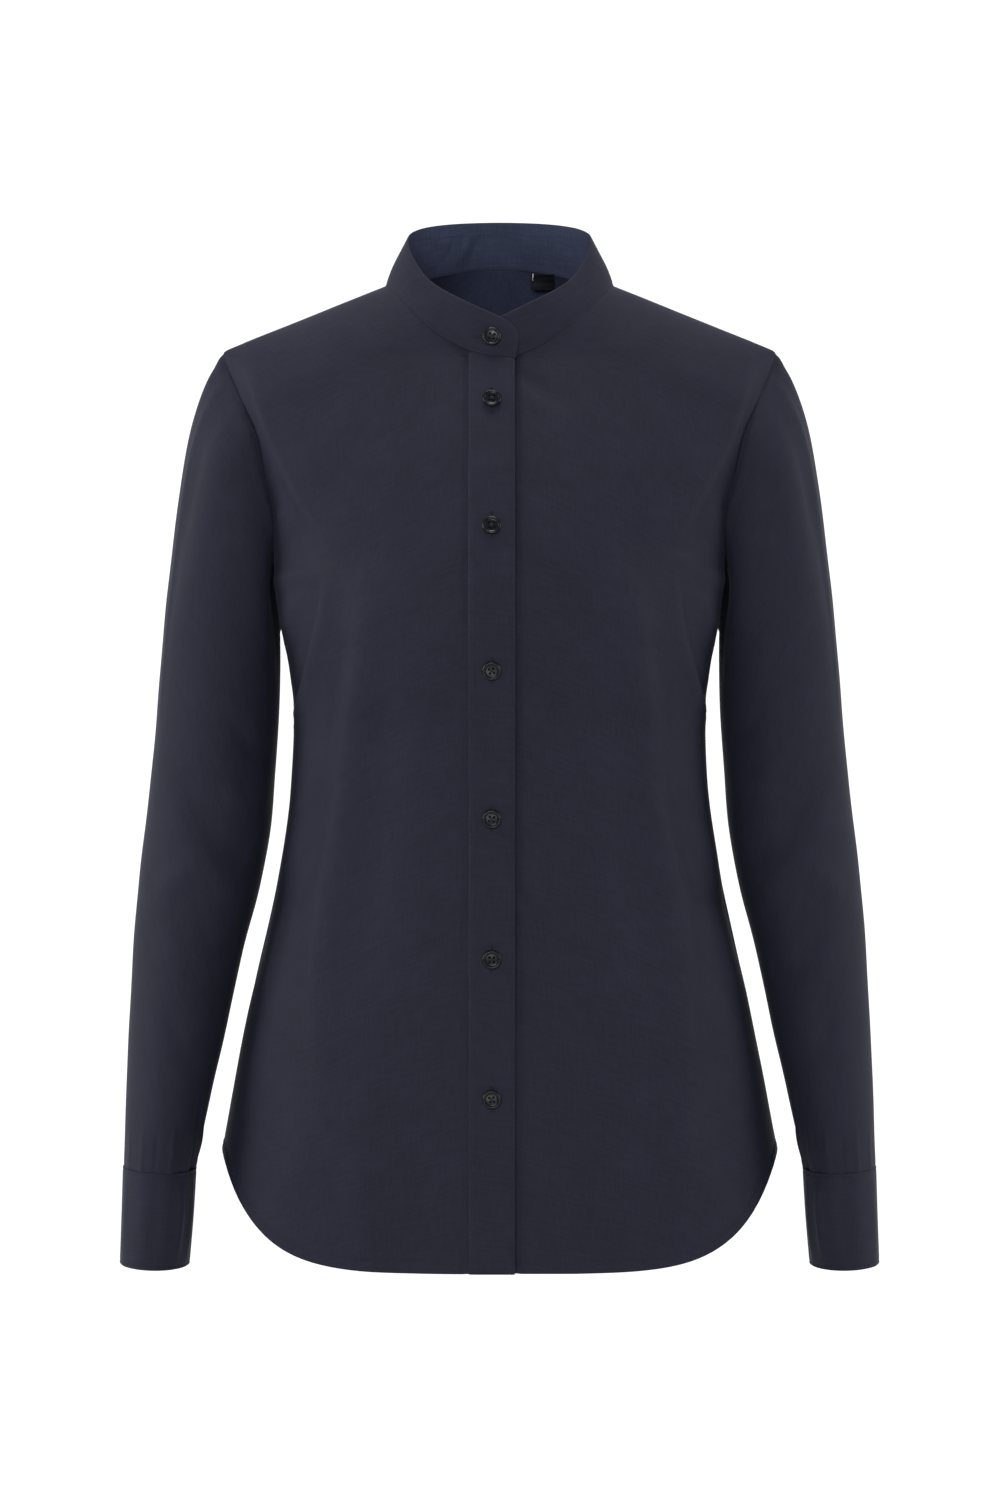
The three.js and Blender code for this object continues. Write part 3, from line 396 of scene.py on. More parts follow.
# What sewing does to the cloth: the depth and width of the dip at a seam or a line of stitches
SEAM_DIP = (0.55, 1.5)
HEM_DIP = (0.45, 0.9)
PLACKET_HEM_DIP = (0.35, 0.9)
PLACKET_DIP = (0.22, 0.8)
PLACKET_EDGE_DIP = (0.7, 1.1)
CUFF_DIP = (0.3, 0.7)
COLLAR_BASE_DIP = (0.3, 0.8)
COLLAR_RIM_DIP = (0.05, 0.8)
HEM_BAND = {"height": 0.4, "turn": 0.8}
HEM_PUCKER = {"height": 0.16, "pitch": 8.5, "reach": 6}
PLACKET_PUCKER = {"height": 0.1, "pitch": 9.5}
SLEEVE_HEAD = {"height": 0.7, "rise": (1, 5), "fall": (5, 14)}
CUFF_SEAM = {"depth": 0.2, "reach": 5}
# How far folds keep from the shoulder and side seams, and from which row above the underarm
FOLDS_KEEP = {"shoulder": (0.5, 9), "side": (0.5, 6), "rows": 8}

# The size tab: how far its seam lies over its solid, how far its outer end turns in at the top,
# how much its foot curls and its top leans in, and the white tack beside it
LABEL = {"raised": 2.6, "fold_radius": 0.4, "turned_in": 6.6, "turn_across": 1.5, "turn_up": 1.6,
         "curl": 0.3, "lean": 0.44,
         "leaf_points": 8, "turn_points": 7, "across_points": 9}
TACK = {"in": 1.2, "before": 0.25, "above": 0.6, "step": 0.7, "wave": 0.3, "points": 8, "radius": 0.28}

# The backdrop's floor and wall in metres, and the lights: place, width and height, watts
BACKDROP = {"near": -8, "bend": 1.6, "wide": 20, "high": 12}
WORLD_LIGHT = 0.36
LIGHTS = table("name place size watts", [
    ("front_softbox", (-0.6, -3.1, 0.62), (1.5, 0.7), 50),
    ("low_front_softbox", (0.4, -3.0, -1.1), (1.8, 0.5), 20),
    ("left_softbox", (-2.6, -0.1, 0.4), (0.9, 1.8), 60),
    ("right_softbox", (2.6, -0.1, 0.4), (0.9, 1.8), 42),
    ("top_softbox", (0, 0.3, 2.4), (1.2, 0.9), 50),
])
LIGHTS_AIM = (0, 0, -0.3)


def linear(hex_colour):
    """An sRGB hex colour as linear red, green, blue and alpha."""
    values = [int(hex_colour[i:i + 2], 16) / 255 for i in (1, 3, 5)]
    return tuple(v / 12.92 if v <= 0.04045 else ((v + 0.055) / 1.055) ** 2.4 for v in values) + (1.0,)


def add_node(tree, kind, inputs=(), **settings):
    """Adds a node with its settings; inputs give each socket a value or the socket linked to it."""
    node = tree.nodes.new(kind)
    for name, value in settings.items():
        setattr(node, name, value)
    for name, value in dict(inputs).items():
        if isinstance(value, bpy.types.NodeSocket):
            tree.links.new(value, node.inputs[name])
        else:
            node.inputs[name].default_value = value
    return node


def new_material(name):
    """A material with an empty node tree."""
    material = bpy.data.materials.new(name)
    material.use_nodes = True
    material.node_tree.nodes.clear()
    return material, material.node_tree


def finish_material(tree, shader):
    """Puts the shader on the surface."""
    add_node(tree, "ShaderNodeOutputMaterial", {"Surface": shader.outputs["BSDF"]})


def mix_colour(tree, factor, first, second):
    """Mixes two colours; sockets 6 and 7 are the colour ones of the Mix node."""
    mix = add_node(tree, "ShaderNodeMix", data_type="RGBA")
    tree.links.new(factor, mix.inputs["Factor"])
    for socket, value in ((mix.inputs[6], first), (mix.inputs[7], second)):
        if isinstance(value, bpy.types.NodeSocket):
            tree.links.new(value, socket)
        else:
            socket.default_value = value
    return mix.outputs[2]


def yarn_run(tree, uv, stretch, width):
    """Uneven yarns side by side, this many millimetres wide, long the way they are stretched."""
    stretched = add_node(tree, "ShaderNodeMapping", {"Vector": uv, "Scale": stretch})
    yarns = add_node(tree, "ShaderNodeTexNoise", {"Vector": stretched.outputs["Vector"],
                                                  "Scale": 1 / (width * MM), "Detail": 1.5})
    return yarns.outputs["Fac"]


def woven_cotton_poplin(name, dark, light, sheen):
    """Piece-dyed cotton poplin: a fine plain weave, matt, with fine ribs across, faint clouds of
    the dye 45 mm wide and a pale bloom where it turns away. Poplin has a thread every 0.2 to
    0.35 mm; the yarns are drawn 4/3 mm wide across and 11/6 mm down, or they would not show."""
    material, tree = new_material(name)
    uv = add_node(tree, "ShaderNodeUVMap", uv_map="cloth").outputs["UV"]
    warp = yarn_run(tree, uv, (1.0, 0.1, 1.0), 4 / 3)
    weft = yarn_run(tree, uv, (0.1, 1.0, 1.0), 11 / 6)
    weave = add_node(tree, "ShaderNodeMath", {0: warp, 1: weft}, operation="ADD").outputs["Value"]
    cloudy = add_node(tree, "ShaderNodeTexNoise", {"Vector": uv, "Scale": 22.0, "Detail": 4.0,
                                                   "Roughness": 0.65})
    tone = add_node(tree, "ShaderNodeMath", {0: weave, 1: cloudy.outputs["Fac"]}, operation="ADD")
    tone = add_node(tree, "ShaderNodeMapRange", {"Value": tone.outputs["Value"], "From Min": 1.1,
                                                 "From Max": 1.9})
    base = mix_colour(tree, tone.outputs["Result"], linear(dark), linear(light))
    bump = add_node(tree, "ShaderNodeBump", {"Height": weave, "Strength": 0.3, "Distance": 0.0001})
    shader = add_node(tree, "ShaderNodeBsdfPrincipled", {
        "Base Color": base,
        "Roughness": 0.72,
        "Specular IOR Level": 0.1,
        "Sheen Weight": sheen,
        "Sheen Roughness": 0.4,
        "Sheen Tint": linear("#7C7E90"),
        "Normal": bump.outputs["Normal"],
    })
    finish_material(tree, shader)
    return material


def cast_polyester():
    """Cast polyester resin buttons: nearly black and glossy, with the casting's faint swirl, about
    4 mm wide."""
    material, tree = new_material("cast_polyester_button")
    place = add_node(tree, "ShaderNodeTexCoord").outputs["Object"]
    swirl = add_node(tree, "ShaderNodeTexNoise", {"Vector": place, "Scale": 260.0, "Detail": 2.0})
    base = mix_colour(tree, swirl.outputs["Fac"], linear("#08090C"), linear("#12131A"))
    shader = add_node(tree, "ShaderNodeBsdfPrincipled", {
        "Base Color": base,
        "Roughness": 0.26,
        "Specular IOR Level": 0.16,
        "Coat Weight": 0.04,
        "Coat Roughness": 0.1,
    })
    finish_material(tree, shader)
    return material


def spun_polyester_thread(name, dark, light):
    """Spun polyester sewing thread: a soft twist that shows as slanting bands, nearly matt. A real
    twist turns every 0.6 mm or so; it is drawn at about 3.3 mm, or it would not show."""
    material, tree = new_material(name)
    place = add_node(tree, "ShaderNodeTexCoord").outputs["Object"]
    twist = add_node(tree, "ShaderNodeTexWave", {"Vector": place, "Scale": 110.0, "Distortion": 1.0},
                     wave_type="BANDS", bands_direction="DIAGONAL")
    base = mix_colour(tree, twist.outputs["Fac"], linear(dark), linear(light))
    shader = add_node(tree, "ShaderNodeBsdfPrincipled", {"Base Color": base, "Roughness": 0.65,
                                                         "Specular IOR Level": 0.2})
    finish_material(tree, shader)
    return material


def woven_satin_label():
    """A woven polyester size tab: black satin with ribs across. Real ribs lie about 0.7 mm apart;
    they are drawn 4.4 mm apart, or they would not show."""
    material, tree = new_material("woven_satin_label")
    place = add_node(tree, "ShaderNodeTexCoord").outputs["Object"]
    ribs = add_node(tree, "ShaderNodeTexWave", {"Vector": place, "Scale": 2 * math.pi / (20 * 4.4 * MM),
                                                "Distortion": 0.3}, wave_type="BANDS", bands_direction="Z")
    base = mix_colour(tree, ribs.outputs["Fac"], linear("#0B0C0F"), linear("#17181D"))
    bump = add_node(tree, "ShaderNodeBump", {"Height": ribs.outputs["Fac"], "Strength": 0.3,
                                             "Distance": 0.0001})
    shader = add_node(tree, "ShaderNodeBsdfPrincipled", {
        "Base Color": base,
        "Roughness": 0.6,
        "Specular IOR Level": 0.12,
        "Normal": bump.outputs["Normal"],
    })
    finish_material(tree, shader)
    return material


# The inner side of the cloth is painted a paler and bluer navy than the outer: painted light, which stands
# in for light that reaches the shade inside the shirt
poplin = woven_cotton_poplin("woven_cotton_poplin_navy", "#1A1B26", "#20212D", 0.08)
poplin_inside_painted_lighter = woven_cotton_poplin("woven_cotton_poplin_inside", "#2B3043", "#353B50", 0.05)
button_resin = cast_polyester()
navy_thread = spun_polyester_thread("spun_polyester_thread_navy", "#15161E", "#20212C")
white_thread = spun_polyester_thread("spun_polyester_thread_white", "#C9CACD", "#F0F0F0")
label_satin = woven_satin_label()


def lerp(start, end, part):
    """A part of the way from start to end."""
    return start + (end - start) * part


def ease(start, end, value):
    """From 0 to 1 between two places, level at both."""
    part = np.clip((value - start) / (end - start), 0, 1)
    return part * part * (3 - 2 * part)


def curve(rows, key, column):
    """A smooth curve through the columns of a table, against its key column."""
    pairs = sorted((row[key], row[column]) for row in rows if row[column] is not None)
    xs, ys = (np.array(values, float) for values in zip(*pairs))
    last = len(xs) - 1
    before = np.maximum(np.arange(last + 1) - 1, 0)
    after = np.minimum(np.arange(last + 1) + 1, last)
    slopes = (ys[after] - ys[before]) / (xs[after] - xs[before])

    def value(place):
        at = np.clip(place, xs[0], xs[last])
        i = np.clip(np.searchsorted(xs, at, side="right") - 1, 0, last - 1)
        span = xs[i + 1] - xs[i]
        part = (at - xs[i]) / span
        rise = ys[i + 1] - ys[i]
        bend = (1 - part) * (slopes[i] * span - rise) + part * (rise - slopes[i + 1] * span)
        return ys[i] + rise * part + part * (1 - part) * bend

    return value


def neck_height(drop, power):
    """The neckline's height by the angle from the centre line."""
    return lambda angle: drop * np.abs(np.cos(angle)) ** power


def panel_form(name, facing, form, neck_z):
    """The curves that give a front's or back's surface and its edges."""
    return {
        "facing": facing,
        "half": curve(form, "z", "half"),
        "depth": curve(form, "z", "depth"),
        "centre": curve(CENTRE_ROWS, "place", name),
        "arm_x": curve(ARMHOLE, "place", f"{name}_x"),
        "arm_z": curve(ARMHOLE, "place", f"{name}_z"),
        "neck_z": neck_z,
    }


FRONT = panel_form("front", -1, FRONT_FORM, neck_height(-NECK["drop"], NECK["drop_power"]))
BACK = panel_form("back", 1, BACK_FORM, neck_height(NECK["rise"], NECK["rise_power"]))
side_height = curve(CENTRE_ROWS, "place", "side")


def round_over(x, z):
    """How full the body is below the shoulder line, which it rounds over."""
    inside = np.maximum(NECK["half"] - x, 0)
    line = SHOULDER["slope"] * (NECK["half"] - x) + SHOULDER["neck_bend"] * inside ** 2
    part = np.clip((line - z) / SHOULDER["round"], 0, 1)
    return np.sqrt(1 - (1 - part) ** 2)


def body_point(panel, across, z):
    """Points of the front or back: across runs from 0 at the centre to 1 at the side."""
    across, z = np.broadcast_arrays(np.asarray(across, float), np.asarray(z, float))
    part = np.sin(np.abs(across) * np.pi / 2)
    x = panel["half"](z) * part
    bulge = np.maximum(1 - part ** SECTION_POWER, 0) ** (1 / SECTION_POWER)
    y = panel["facing"] * panel["depth"](z) * bulge * round_over(x, z)
    return np.stack([np.sign(across) * x, y, z], axis=-1)


def across_at(panel, x, z):
    """How far out a place lies, from 0 at the centre to 1 at the side."""
    return np.arcsin(np.clip(x / panel["half"](z), -1, 1)) * 2 / np.pi


def row_points(panel, place, parts):
    """Points of one row at parts of its way out from the centre or neckline."""
    angle = np.radians(90 * min(place / NECK_ROWS, 1))
    on_neck = place < NECK_ROWS
    inner_z = panel["neck_z"](np.pi / 2 - angle) if on_neck else panel["centre"](place)
    inner_x = NECK["half"] * np.cos(angle) if on_neck else 0.0
    on_arm = place < ARM_ROWS
    outer_z = panel["arm_z"](place) if on_arm else side_height(place)
    inner = across_at(panel, inner_x, inner_z)
    outer = across_at(panel, panel["arm_x"](place), outer_z) if on_arm else 1.0
    turned = lerp(inner, outer, parts)
    if not on_arm:
        reach = np.sin(turned * np.pi / 2) ** HEM_CURVE["reach"]
        fall = 1 - np.maximum(1 - reach, 0) ** HEM_CURVE["corner"]
    elif panel is BACK:
        fall = parts
    else:
        fall = parts ** (1 + min(place / NECK_ROWS, 1) ** 2)
    z = lerp(inner_z, outer_z, fall)
    ends = [body_point(panel, inner, inner_z)[0], body_point(panel, outer, outer_z)[0]]
    straight = across_at(panel, lerp(ends[0], ends[1], parts), z)
    return body_point(panel, lerp(straight, turned, min(place / ARM_ROWS, 1)), z)


def steps(start, end, count):
    """Even steps from start up to end, which is left out."""
    return [lerp(start, end, step / count) for step in range(count)]


upper_places = steps(0, NECK_ROWS, NECK_ROWS * NECK_STEPS)
upper_places += steps(NECK_ROWS, ARM_ROWS, (ARM_ROWS - NECK_ROWS) * ARM_STEPS)
upper_places[1:1] = [0.02, 0.05, 0.1]
body_places = upper_places + steps(ARM_ROWS, LAST_ROW, (LAST_ROW - ARM_ROWS) * LOWER_STEPS)
body_places = [place for place in body_places if place < LAST_ROW - 1 + HEM_PARTS[0] - 0.01]
body_places += [LAST_ROW - 1 + part for part in HEM_PARTS]
arm_row = body_places.index(ARM_ROWS)


def parts_across(count):
    """Parts of the way out to a seam, closer together near both ends."""
    ends = np.array(EDGE_PARTS)
    return np.concatenate([ends, np.linspace(ends[-1], 1 - ends[-1], count)[1:-1], 1 - ends[::-1]])


def smooth_path(points):
    """A bent line's points made a smooth run."""
    knots = np.array([points[0], *points, points[-1]], float)
    run = []
    for a, b, c, d in zip(knots, knots[1:], knots[2:], knots[3:]):
        for step in range(PATH_STEPS):
            t = step / PATH_STEPS
            run.append(0.5 * (2 * b + (c - a) * t + (2 * a - 5 * b + 4 * c - d) * t ** 2
                              + (3 * b - a - 3 * c + d) * t ** 3))
    run.append(knots[-1])
    return np.array(run)


def fold_lift(folds, x, z):
    """How far the folds lift the cloth at places in their own plane; each dies away at its ends."""
    total = np.zeros_like(x)
    for fold in folds:
        run = smooth_path(fold["path"])
        nearest = np.full_like(x, np.inf)
        along = np.zeros_like(x)
        flank = np.zeros_like(x)
        last = len(run) - 1
        for i in range(last):
            dx, dz = run[i + 1] - run[i]
            part = np.clip(((x - run[i][0]) * dx + (z - run[i][1]) * dz) / (dx * dx + dz * dz), 0, 1)
            off_x = x - run[i][0] - dx * part
            off_z = z - run[i][1] - dz * part
            distance = np.hypot(off_x, off_z)
            closer = distance < nearest
            nearest = np.where(closer, distance, nearest)
            along = np.where(closer, (i + part) / last, along)
            flank = np.where(closer, np.sign(off_x * -dz + off_z * dx), flank)
        first_width, second_width = fold["width"]
        width = np.where(flank < 0, first_width, second_width)
        fade = np.sqrt(np.sin(np.pi * np.clip(along, 0.02, 0.98)))
        total += fold["height"] * fade * np.exp(-((nearest / width) ** 2))
    return total


class Sheet:
    """Points in rows, the four-sided cells between them, and which way each point faces."""

    def __init__(self, rows, ring=False, flip=False, present=None, shared=None):
        rows = np.asarray(rows, float)
        self.ring = ring
        self.count = rows.shape[:2]
        self.points = rows.reshape(-1, 3).copy()
        self.numbers = np.arange(rows.shape[0] * rows.shape[1]).reshape(self.count)
        if shared is not None:
            for i, j in zip(*np.nonzero(shared)):
                self.numbers[i, j] = self.numbers[i, j - 1]
        above, below = self.numbers[:-1], self.numbers[1:]
        if ring:
            above = np.hstack([above, above[:, :1]])
            below = np.hstack([below, below[:, :1]])
        corners = [above[:, :-1], above[:, 1:], below[:, 1:], below[:, :-1]]
        order = [0, 1, 2, 3] if flip else [1, 0, 3, 2]
        cells = np.stack([corners[k] for k in order], axis=-1)
        keep = np.ones(cells.shape[:2], bool) if present is None else present
        self.cells = cells[keep].reshape(-1, 4)
        self.find_normals()

    def find_normals(self):
        """Makes each point face the mean way of its cells."""
        a, b, c, d = (self.points[self.cells[:, k]] for k in range(4))
        facing = np.cross(c - a, d - b)
        normals = np.zeros_like(self.points)
        for k in range(4):
            np.add.at(normals, self.cells[:, k], facing)
        length = np.linalg.norm(normals, axis=1, keepdims=True)
        self.normals = normals / np.maximum(length, 1e-12)

    def move(self, lift):
        """Moves each point out by its own amount."""
        self.points += self.normals * np.asarray(lift).reshape(-1, 1)
        self.find_normals()
        return self

    def grid(self):
        """The points in their rows."""
        return self.points[self.numbers]

    def borders(self):
        """Cell edges that no other cell shares."""
        edges = {}
        for k in range(4):
            for start, end in zip(self.cells[:, k], self.cells[:, (k + 1) % 4]):
                edges[(int(start), int(end))] = True
        return [edge for edge in edges if (edge[1], edge[0]) not in edges]


def run_lengths(points, axis):
    """Distances along the rows or columns from their start."""
    gaps = np.linalg.norm(np.diff(points, axis=axis), axis=2)
    lengths = np.zeros(points.shape[:2])
    if axis == 0:
        lengths[1:] = np.cumsum(gaps, axis=0)
    else:
        lengths[:, 1:] = np.cumsum(gaps, axis=1)
    return lengths


def spread(sheet, values):
    """Values of a grid as one for each of the sheet's own points."""
    flat = np.zeros(len(sheet.points))
    flat[sheet.numbers] = values
    return flat


def flat_places(sheet):
    """Where each point lies on the flat cloth: across from the middle column, and up."""
    grid = sheet.grid()
    across = run_lengths(grid, 1)
    middle = across[:, across.shape[1] // 2][:, None]
    return np.stack([spread(sheet, across - middle), spread(sheet, -run_lengths(grid, 0))], axis=-1)


def flat_cut(sheet):
    """Width, length and area of the cloth before it was sewn, in metres: its own lengths along the
    rows and columns, and all round where it is a tube."""
    grid = sheet.grid()
    across = np.concatenate([grid, grid[:, :1]], axis=1) if sheet.ring else grid
    width = run_lengths(across, 1)[:, -1].max()
    length = run_lengths(grid, 0)[-1].max()
    a, b, c, d = (sheet.points[sheet.cells[:, k]] for k in range(4))
    area = np.linalg.norm(np.cross(c - a, d - b), axis=1).sum() / 2
    return width * MM, length * MM, area * MM * MM


def add_piece(name, mesh, slot, *nodes):
    """Puts a finished mesh in the scene as a piece that stands for these nodes of the frame."""
    piece = bpy.data.objects.new(name, mesh)
    bpy.context.collection.objects.link(piece)
    if nodes:
        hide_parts(*nodes)
    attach(piece, "root")
    return piece


def cloth_mesh(name, sheet, height, thick):
    """A closed wall of cloth on a sheet with a rounded edge: its outer face this high over it."""
    used = np.unique(sheet.cells)
    place = np.full(len(sheet.points), -1)
    place[used] = np.arange(len(used))
    outer = sheet.points[used] + sheet.normals[used] * height
    inner = outer - sheet.normals[used] * thick
    cells = place[sheet.cells]
    count = len(used)
    edges = [(place[start], place[end]) for start, end in sheet.borders()]
    outward = np.zeros_like(outer)
    for start, end in edges:
        along = outer[end] - outer[start]
        out = np.cross(along, sheet.normals[used[start]])
        out /= max(np.linalg.norm(out), 1e-9)
        outward[start] += out
        outward[end] += out
    rim = sorted({int(number) for edge in edges for number in edge})
    rim_place = {number: 2 * count + i for i, number in enumerate(rim)}
    lengths = np.linalg.norm(outward[rim], axis=1, keepdims=True)
    middle = (outer[rim] + inner[rim]) / 2 + outward[rim] / np.maximum(lengths, 1e-9) * thick * EDGE_ROUND
    points = np.vstack([outer, inner, middle]) * MM
    faces = [tuple(cell) for cell in cells.tolist()]
    faces += [tuple(number + count for number in reversed(cell)) for cell in cells.tolist()]
    for start, end in edges:
        faces.append((end, start, rim_place[start], rim_place[end]))
        faces.append((rim_place[end], rim_place[start], start + count, end + count))
    mesh = bpy.data.meshes.new(name)
    mesh.from_pydata(points.tolist(), [], [tuple(int(number) for number in face) for face in faces])
    mesh.update()
    mesh.shade_smooth()
    flat = flat_places(sheet)[used]
    every = np.vstack([flat, flat, flat[rim]]) * MM
    layer = mesh.uv_layers.new(name="cloth")
    loops = np.empty(len(mesh.loops), np.int32)
    mesh.loops.foreach_get("vertex_index", loops)
    layer.data.foreach_set("uv", every[loops].ravel())
    mesh.materials.append(poplin)
    # the second material, on the inner faces, is the paler navy painted as light inside the shirt
    mesh.materials.append(poplin_inside_painted_lighter)
    sides = np.zeros(len(faces), np.int32)
    sides[len(cells):2 * len(cells)] = 1
    mesh.polygons.foreach_set("material_index", sides)
    return add_piece(f"{name}_cloth", mesh, "cloth", name)


def add_cloth(name, sheet, height=0.0, thick=THICK["cloth"]):
    """One sewn piece of cloth in place of its solid; its flat size is worked out but not used."""
    piece = cloth_mesh(name, sheet, height, thick)
    width, length, area = flat_cut(sheet)
    return piece


def folds_of(table_rows, side, panel=None):
    """The folds of a table that lie on this side of the wearer, and on this panel if one is named."""
    name = "right" if side < 0 else "left"
    wanted = [fold for fold in table_rows if fold["side"] in ("both", name)]
    return [fold for fold in wanted if panel is None or fold["panel"] == panel]


def mirrored(points, side):
    """Points of the wearer's left moved to this side: -1 is the wearer's right."""
    return points * np.array([side, 1, 1])


def underlap_inset(x):
    """The left front lies one layer in, beneath the placket, and comes out beyond it."""
    return LAYER * (1 - ease(UNDERLAP["flat_to"], UNDERLAP["eased_by"], x))


front_parts = parts_across(FRONT_COLUMNS)
back_parts = parts_across(BACK_COLUMNS)


def edge_distances(sheet):
    """How far each point lies from the first row, last row and last column, along the cloth."""
    grid = sheet.grid()
    down = run_lengths(grid, 0)
    across = run_lengths(grid, 1)
    return down, down[-1:] - down, across, across[:, -1:] - across


def dip(distance, at, depth, width):
    """How the cloth sinks along a line this far from an edge."""
    return -depth * np.exp(-(((distance - at) / width) ** 2))


def hem_form(distance, along):
    """A double-turned hem: its band stands out a little and puckers at the line of stitches."""
    turn = HEM_BAND["turn"]
    band = HEM_BAND["height"] * (1 - ease(HEM_WIDTH - turn, HEM_WIDTH + turn, distance))
    wave = HEM_PUCKER["height"] * np.sin(along * 2 * np.pi / HEM_PUCKER["pitch"])
    return band + dip(distance, HEM_WIDTH, *HEM_DIP) - dip(distance, HEM_WIDTH, wave, HEM_PUCKER["reach"])


def soft_drape(x, z):
    """The slight unevenness of cloth that hangs free."""
    total = np.zeros_like(x)
    for row in DRAPE:
        waves = [np.sin(x * across + z * down + start)
                 for across, down, start in (row["first"], row["second"])]
        total += row["height"] * waves[0] * waves[1]
    return total


def seam_fade(sheet, both_sides=False):
    """From 0 where front and back are sewn together, so that both lie alike there, up to 1."""
    top, _, first, last = edge_distances(sheet)
    outer = np.minimum(first, last) if both_sides else last
    side_rows = ease(arm_row - FOLDS_KEEP["rows"], arm_row, np.arange(len(outer)))[:, None]
    beside = lerp(1, ease(*FOLDS_KEEP["side"], outer), side_rows)
    return spread(sheet, beside * ease(*FOLDS_KEEP["shoulder"], top))


def front_sheet(side):
    """One front; its first columns are the strip beyond the centre line, below the neckline."""
    strip = PLACKET["free"] if side < 0 else UNDERLAP["reach"]
    rows = []
    for place in body_places:
        row = mirrored(row_points(FRONT, place, front_parts), side)
        fall = PLACKET["tab_fall"] * (1 - ease(NECK_ROWS, NECK_ROWS + 1, place)) if side < 0 else 0.0
        beyond = strip * (1 - np.arange(STRIP_COLUMNS) / STRIP_COLUMNS)
        z = FRONT["centre"](max(place, NECK_ROWS)) - fall * beyond / strip
        edge = body_point(FRONT, across_at(FRONT, beyond, z), z)
        rows.append(np.vstack([mirrored(edge, -side), row]))
    present = np.ones((len(rows) - 1, len(rows[0]) - 1), bool)
    starts_at = body_places.index(NECK_ROWS)
    present[:starts_at, :STRIP_COLUMNS] = False
    sheet = Sheet(rows, flip=side < 0, present=present)
    x, z = sheet.points[:, 0] * side, sheet.points[:, 2]
    lift = fold_lift(folds_of(BODY_FOLDS, side, "front"), x, z)
    drape = soft_drape(sheet.points[:, 0] + DRAPE_PLACE["front"], z)
    lift += drape * ease(*DRAPE_FROM_PLACKET, x)
    lift *= seam_fade(sheet)
    top, hem, across, outer = edge_distances(sheet)
    lift += spread(sheet, dip(top, 0, *SEAM_DIP) + dip(outer, 0, *SEAM_DIP) + hem_form(hem, across))
    if side < 0:
        lift += dip(x, **STAND_GROOVE)
    sheet.move(lift)
    if side > 0:
        x = sheet.points[:, 0]
        sheet.move(dip(x, **UNDERLAP_HOLLOW) - underlap_inset(x))
    return sheet


def back_sheet():
    """The back: two halves that share their middle points below the neckline."""
    rows = []
    for place in body_places:
        half = row_points(BACK, place, back_parts)
        rows.append(np.vstack([mirrored(half, -1)[::-1], half]))
    middle = len(back_parts) - 1
    present = np.ones((len(rows) - 1, len(rows[0]) - 1), bool)
    present[:, middle] = False
    shared = np.zeros((len(rows), len(rows[0])), bool)
    shared[body_places.index(NECK_ROWS):, middle + 1] = True
    sheet = Sheet(rows, flip=True, present=present, shared=shared)
    x, z = sheet.points[:, 0], sheet.points[:, 2]
    right = fold_lift(folds_of(BODY_FOLDS, -1, "back"), -x, z)
    left = fold_lift(folds_of(BODY_FOLDS, 1, "back"), x, z)
    lift = np.where(x < 0, right, left) + soft_drape(x + DRAPE_PLACE["back"], z)
    lift *= seam_fade(sheet, both_sides=True)
    top, hem, across, outer = edge_distances(sheet)
    seams = sum(dip(distance, 0, *SEAM_DIP) for distance in (top, across, outer))
    return sheet.move(lift + spread(sheet, seams + hem_form(hem, across)))


def tube(rows):
    """Points of a sleeve or cuff, by the section's place and the angle round from its outer edge."""
    curves = {column: curve(rows, "place", column) for column in rows[0] if column != "place"}

    def point(place, angle):
        along = (1 + np.cos(angle)) / 2
        return np.stack([
            lerp(curves["in_x"](place), curves["out_x"](place), along),
            curves["y"](place) - curves["depth"](place) * np.sin(angle),
            lerp(curves["in_z"](place), curves["out_z"](place), along),
        ], axis=-1)

    return point


sleeve_point = tube(SLEEVE_ROWS)
cuff_point = tube(CUFF_ROWS)


def armhole_ring(front, back, side):
    """The armhole's own points down the front and up the back, each with its angle round the sleeve."""
    down = mirrored(front.grid()[: arm_row + 1, -1], side)
    up = mirrored(back.grid()[: arm_row + 1, -1 if side > 0 else 0], side)

    def angles(points):
        gone = np.concatenate([[0], np.cumsum(np.linalg.norm(np.diff(points, axis=0), axis=1))])
        return np.pi * gone / gone[-1]

    ring = np.vstack([down, up[1:-1][::-1]])
    return ring, np.concatenate([angles(down), 2 * np.pi - angles(up)[1:-1][::-1]])


def sleeve_sheet(front, back, side):
    """One sleeve, from the armhole's own shape to the cuff seam."""
    ring, angle = armhole_ring(front, back, side)
    own = ring - sleeve_point(0, angle)
    last = SLEEVE_ROWS[-1]["place"]
    rows = []
    places = [*SLEEVE_FIRST, *np.linspace(0, last, last * SLEEVE_STEPS + 1)[1:]]
    for place in places:
        fade = max(1 - place / SLEEVE_FADE, 0) ** 2
        rows.append(sleeve_point(place, angle) + own * fade)
    rows = np.array(rows)
    folds = [
        {**fold, "path": [(degrees * SLEEVE_MM_PER_DEGREE, z) for degrees, z in fold["path"]]}
        for fold in folds_of(SLEEVE_FOLDS, side)
    ]
    round_it = np.broadcast_to(np.degrees(angle) * SLEEVE_MM_PER_DEGREE, rows.shape[:2])
    lift = fold_lift(folds, round_it, rows[:, :, 2])
    drape = soft_drape(rows[:, :, 0] * SLEEVE_DRAPE["closer"], rows[:, :, 2] + DRAPE_PLACE["sleeve"] * side)
    lift += SLEEVE_DRAPE["share"] * drape
    down = run_lengths(rows, 0)
    to_cuff = down[-1:] - down
    lift += SLEEVE_HEAD["height"] * ease(*SLEEVE_HEAD["rise"], down) * (1 - ease(*SLEEVE_HEAD["fall"], down))
    lift -= CUFF_SEAM["depth"] * (1 - ease(0, CUFF_SEAM["reach"], to_cuff))
    lift[0] = 0
    sheet = Sheet(mirrored(rows, side), ring=True, flip=side > 0)
    return sheet.move(lift)


